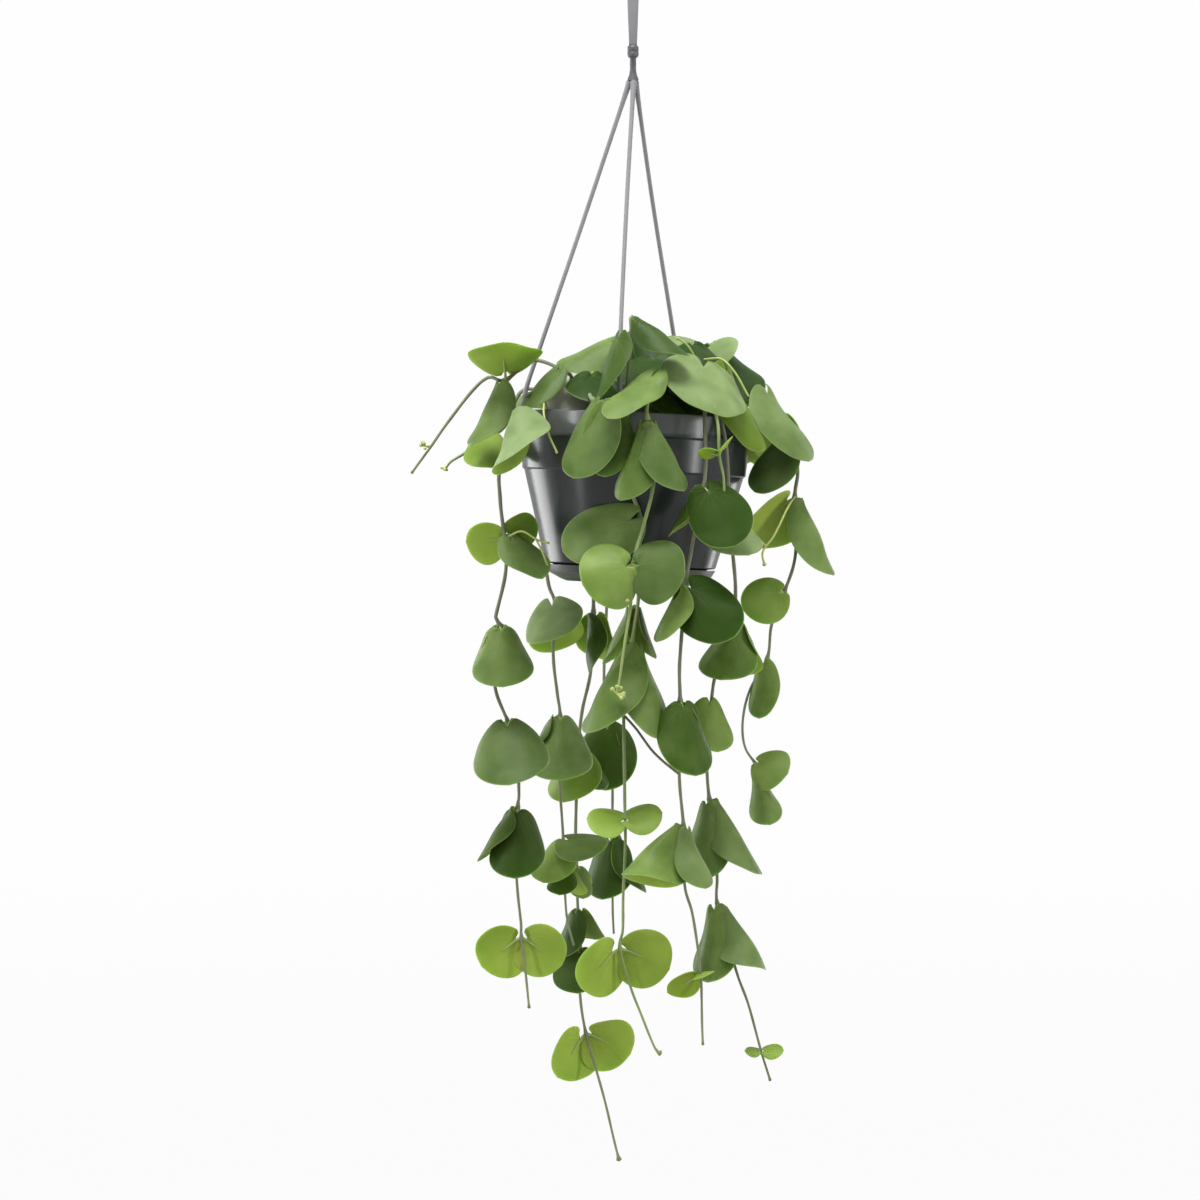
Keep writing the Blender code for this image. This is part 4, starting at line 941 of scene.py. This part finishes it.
# The one dead leaf at the rim has gone matt and grey
dry_skin = mottled("dried_leaf_skin", DRY_PATCH, 5.0, "#A3A594", "#C6C8BA", Roughness=0.75)[0]


def direction(turn, slope):
    """Unit vector for a plan direction and a slope in degrees."""
    flat = cos(radians(slope))
    return Vector((cos(radians(turn)) * flat, sin(radians(turn)) * flat, sin(radians(slope))))


def leaf_axes(leaf):
    """Tip, side and upper directions of a leaf."""
    tip = direction(leaf[0], leaf[1])
    upper = direction(leaf[0], leaf[1] + 90.0)
    upper = Matrix.Rotation(radians(leaf[2]), 3, tip) @ upper
    return tip, tip.cross(upper), upper


def openness(leaf):
    """How far a blade is from folded: folded blades have shallow lobes and sit close to the stem."""
    return min(1.0, max(0.55, 1 - (leaf[5] + leaf[6]) / 110))


def petiole(leaf):
    """Vector from the stem to the foot of the blade."""
    tip, _, upper = leaf_axes(leaf)
    rise = radians(PETIOLE_RISE)
    return (tip * cos(rise) + upper * sin(rise)) * (leaf[3] * PETIOLE * openness(leaf) + 1.4)


def arc_sum(turn_at, distance, steps=10):
    """Where a line that turns by turn_at(s) has come to after the distance."""
    across = drop = 0.0
    for step in range(steps):
        angle = turn_at(distance * (step + 0.5) / steps)
        across += cos(angle) * distance / steps
        drop += sin(angle) * distance / steps
    return across, drop


def margin_point(leaf, angle, habit):
    """Point (beside, along) of the kidney outline at an angle round the blade, in mm."""
    length, width = leaf[3], leaf[4]
    lobe = LOBE * openness(leaf) ** 2
    reach = length * (1 + lobe) / 2
    uneven = 1 + habit["lean"] * sin(angle) + habit["lobes"] * cos(3 * angle + habit["phase"][0])
    beside = width / 2 * sin(angle) * uneven
    along = length - reach + reach * cos(angle) + 0.4 * exp(-(angle / 0.09) ** 2)
    notch = 1 - exp(-((pi - abs(angle)) / radians(NOTCH)) ** 2)
    return beside * notch, along * notch


def blade_point(leaf, foot, angle, part, habit):
    """A point of the bent blade: part of the way from its foot to its margin at the angle."""
    _, _, _, length, width, fold, cup, droop = leaf[:8]
    tip, side, upper = leaf_axes(leaf)
    beside, along = (part * value for value in margin_point(leaf, angle, habit))
    ahead, sunk = arc_sum(lambda s: radians(droop) * s / length, along)
    ease = HOOD[0] + (HOOD[1] - HOOD[0]) * along / length
    fold_turn = radians(fold) * ease
    cup_turn = radians(cup) * 2 / width * ease
    out, down = arc_sum(lambda s: fold_turn * (1 - exp(-s / CREASE)) + cup_turn * s, abs(beside))
    lean = radians(droop) * along / length
    normal = upper * cos(lean) + tip * sin(lean)
    sideways = out if beside >= 0 else -out
    phase = habit["phase"]
    ripple = sum(sin(turns * angle + phase[which]) * most for turns, which, most in RIPPLES)
    wave = ripple * part ** 2 * habit["wave"] * width / 42
    grown = min(1.0, width / 30)
    hollow = -0.9 * grown * exp(-(part / 0.35) ** 2)
    seat = Vector((beside * 0.05 + phase[0], along * 0.05 + phase[1], phase[2]))
    wave += noise(seat) * DENTS * grown * part * (2 - part)
    return foot + tip * ahead - upper * sunk + side * sideways - normal * (down - wave - hollow)


def add_blade(work, layers, leaf, node, habit, growth):
    """Add one fleshy blade, closed all round, and the petiole that carries it."""
    plan_layer, growth_layer = layers
    foot = node + petiole(leaf)
    upper = leaf_axes(leaf)[2]
    length = leaf[3]
    angles = [radians(-SINUS + 2 * SINUS * ray / (RAYS - 1)) for ray in range(RAYS)]
    middle = [[blade_point(leaf, foot, angle, part, habit) for part in RINGS] for angle in angles]
    start = blade_point(leaf, foot, 0.0, 0.0, habit)
    state = Vector(growth) + Vector((0.0, 0.3, 0.2)) * (habit["seed"] - 0.5)

    def vertex(point, plan):
        made = work.verts.new(point * MM)
        made[plan_layer] = plan
        made[growth_layer] = state
        return made

    thick = LEAF_THICKNESS * (0.75 + length / 160)
    crown = vertex(start + upper * thick / 2, Vector())
    root = vertex(start - upper * thick / 2, Vector())
    tops, unders = [], []
    for ray, angle in enumerate(angles):
        top_ray, under_ray = [], []
        margin = margin_point(leaf, angle, habit)
        for ring, part in enumerate(RINGS):
            point = middle[ray][ring]
            inner = middle[ray][ring - 1] if ring else start
            outer = middle[ray][min(ring + 1, len(RINGS) - 1)]
            before, after = middle[max(ray - 1, 0)][ring], middle[min(ray + 1, RAYS - 1)][ring]
            normal = (after - before).cross(outer - inner)
            normal = normal.normalized() if normal.length > 1e-9 else upper
            plan = Vector((margin[0] * part / length, margin[1] * part / length, part))
            # the two skins meet at the margin and at the notch
            sinus = 1 - exp(-((SINUS - degrees(abs(angle))) / SINUS_EASE) ** 2)
            half = thick / 2 * sqrt(1 - part ** 6) * sqrt(sinus)
            meet = ring == len(RINGS) - 1 or ray in (0, RAYS - 1)
            top_ray.append(vertex(point if meet else point + normal * half, plan))
            under_ray.append(top_ray[-1] if meet else vertex(point - normal * half, plan))
        tops.append(top_ray)
        unders.append(under_ray)
    for left, right, low_left, low_right in zip(tops, tops[1:], unders, unders[1:]):
        upper_faces = [(crown, right[0], left[0]), *zip(left, right, right[1:], left[1:])]
        lower_faces = [(root, low_left[0], low_right[0]),
                       *zip(low_left, low_left[1:], low_right[1:], low_right)]
        for finish, faces in enumerate((upper_faces, lower_faces)):
            for face in faces:
                work.faces.new(tuple(dict.fromkeys(face))).material_index = finish
    work.faces.new((crown, tops[0][0], root)).material_index = 1
    work.faces.new((crown, root, tops[-1][0])).material_index = 1
    ribs = [blade_point(leaf, foot, 0.0, part, habit) - upper * thick * share
            for part, share in ((0.0, 0.9), (0.1, 0.75), (0.25, 0.62), (0.42, 0.5))]
    out = petiole(leaf)
    bow = node + out * 0.5 - upper * out.length * 0.12
    points = smooth_route([node, bow] + ribs, 2.0)
    radii = []
    for index in range(len(points)):
        share = index / (len(points) - 1)
        radius = PETIOLE_RADIUS * (0.8 + length / 200)
        radii.append(radius * (1 - share ** 3 * 0.75) * (1 + 0.35 * exp(-index / 1.2)))
    sweep(work, points, radii, 10, [Vector()] * len(points), plan_layer, 2)


def leaf_habit(name):
    """The small ways in which one leaf differs from the next, fixed by its name."""
    dice = random.Random(name)
    return {"lean": dice.uniform(-0.05, 0.05), "lobes": dice.uniform(0.0, 0.035),
            "wave": dice.uniform(0.4, 1.1), "phase": [dice.uniform(0, 2 * pi) for _ in range(4)],
            "seed": dice.random()}


def add_leaves(name, node, leaves, *nodes):
    """The leaves that grow from one node, as one piece."""
    work = bmesh.new()
    layers = work.verts.layers.float_vector.new("plan"), work.verts.layers.float_vector.new("growth")
    for number, leaf in enumerate(leaves):
        growth = GROWTH[leaf[8] if len(leaf) > 8 else "full"]
        add_blade(work, layers, leaf, node, leaf_habit(f"{name}_{number}"), growth)
    mesh = bpy.data.meshes.new(name)
    work.to_mesh(mesh)
    work.free()
    skins = [dry_skin if name in DRY_LEAVES else upper_skin, lower_skin, petiole_skin]
    add_piece(name, mesh, skins, "leaf", *nodes)


for vine_name, rows in VINES.items():
    grown = [(place, row[3:]) for place, row in zip(routes[vine_name], rows) if len(row) > 3]
    for count, (place, leaves) in enumerate(grown, 1):
        stands_for = in_frame(f"vine_{vine_name}_leaves_{count}")
        add_leaves(f"leaves_{vine_name}_{count}", place, leaves, *stands_for)
for name, (place, *leaves) in MORE_LEAVES.items():
    add_leaves(f"leaves_{name}", Vector(place), leaves)

# Young growth on the stems: pale peduncles that flowered, their bud clusters, and one bare twig. Each
# stalk is a soft green tube with a bead at its end, and grows from a node.
PEDUNCLE_RADIUS = 0.65
PEDUNCLE_STEP = 1.5
# name: route in mm from its node to its end, and radius of the bead there
PEDUNCLES = {
    "crown_left": ([(-52, -44, -282), (-53, -56, -294), (-50, -66, -307), (-45, -70, -318)], 0.9),
    "low_left": ([(-74, -39, -367), (-66, -44, -364), (-57, -46, -369), (-50, -46, -371)], 0.9),
    "low_left_fork": ([(-58, -46, -368), (-54, -48, -376), (-51, -48, -384)], 0.8),
    "right": ([(97, -7, -343), (92, -22, -350), (84, -30, -366), (77, -32, -376), (78, -32, -384)], 1.5),
    "right_fork": ([(79, -31, -373), (74, -33, -368), (69, -34, -362)], 0.8),
    "crown_back": ([(38, -36, -263), (32, -46, -254), (26, -52, -250)], 0.8),
    "crown_twig": ([(42, -38, -262), (52, -44, -262), (60, -46, -270), (68, -44, -284)], 0.8),
    "middle": ([(-3, -90, -388), (-3, -93, -396), (-4, -94, -405)], 1.6),
}
# place, radius of the cluster, beads in it
BUDS = {
    "end_e": ((-10, -94, -459), 3.4, 9),
    "side_j": ((-124, -15, -313), 2.6, 5),
    "side_k": ((-113, 2, -326), 1.9, 4),
    "node_c": ((-40, -26, -281), 2.2, 4),
    "node_f": ((-24, -62, -287), 1.6, 3),
}
# a thin bare twig that crosses from one vine to the next
TWIG = [(-5, -66, -473), (2, -67, -481), (10, -69, -492), (17, -71, -499), (27, -73, -507)]
TWIG_RADIUS = 0.75
TWIG_YOUTH = 0.1
SHOOT_PATCH = 2.5           # across

# Young shoots: tender and yellow green, with a soft shine
shoot_skin = mottled("young_shoot_skin", SHOOT_PATCH, 2.0, "#A3B45A", "#C6CF86", Roughness=0.5,
                     Subsurface_Weight=0.15, Subsurface_Scale=0.001)[0]

for stalk_name, (way, bead) in PEDUNCLES.items():
    points = smooth_route(way, PEDUNCLE_STEP)
    radii = [max(PEDUNCLE_RADIUS, bead * exp(-((len(points) - 1 - index) * PEDUNCLE_STEP / 1.8) ** 2))
             for index in range(len(points))]
    work = bmesh.new()
    sweep(work, points, radii, 8)
    add_piece(f"peduncle_{stalk_name}", finish_mesh(work), [shoot_skin], "stem")
for bud_name, (spot, spread, count) in BUDS.items():
    dice = random.Random(bud_name)
    work = bmesh.new()
    for _ in range(count):
        way_out = Vector((dice.gauss(0, 1), dice.gauss(0, 1), dice.gauss(0, 0.8))).normalized() * spread
        end = Vector(spot) + way_out
        points = smooth_route([spot, Vector(spot) + way_out * 0.5, end, end + way_out * 0.45], 0.6)
        radii = [0.45 + (spread * 0.26) * exp(-((len(points) - 2.4 - index) / 1.6) ** 2)
                 for index in range(len(points))]
        sweep(work, points, radii, 8)
    add_piece(f"buds_{bud_name}", finish_mesh(work), [shoot_skin], "leaf")
work = bmesh.new()
layer = work.verts.layers.float.new("youth")
points = smooth_route(TWIG, STEM_STEP)
sweep(work, points, [TWIG_RADIUS] * len(points), 10, [TWIG_YOUTH] * len(points), layer)
add_piece("twig_between_vines", finish_mesh(work), [stem_skin], "stem")
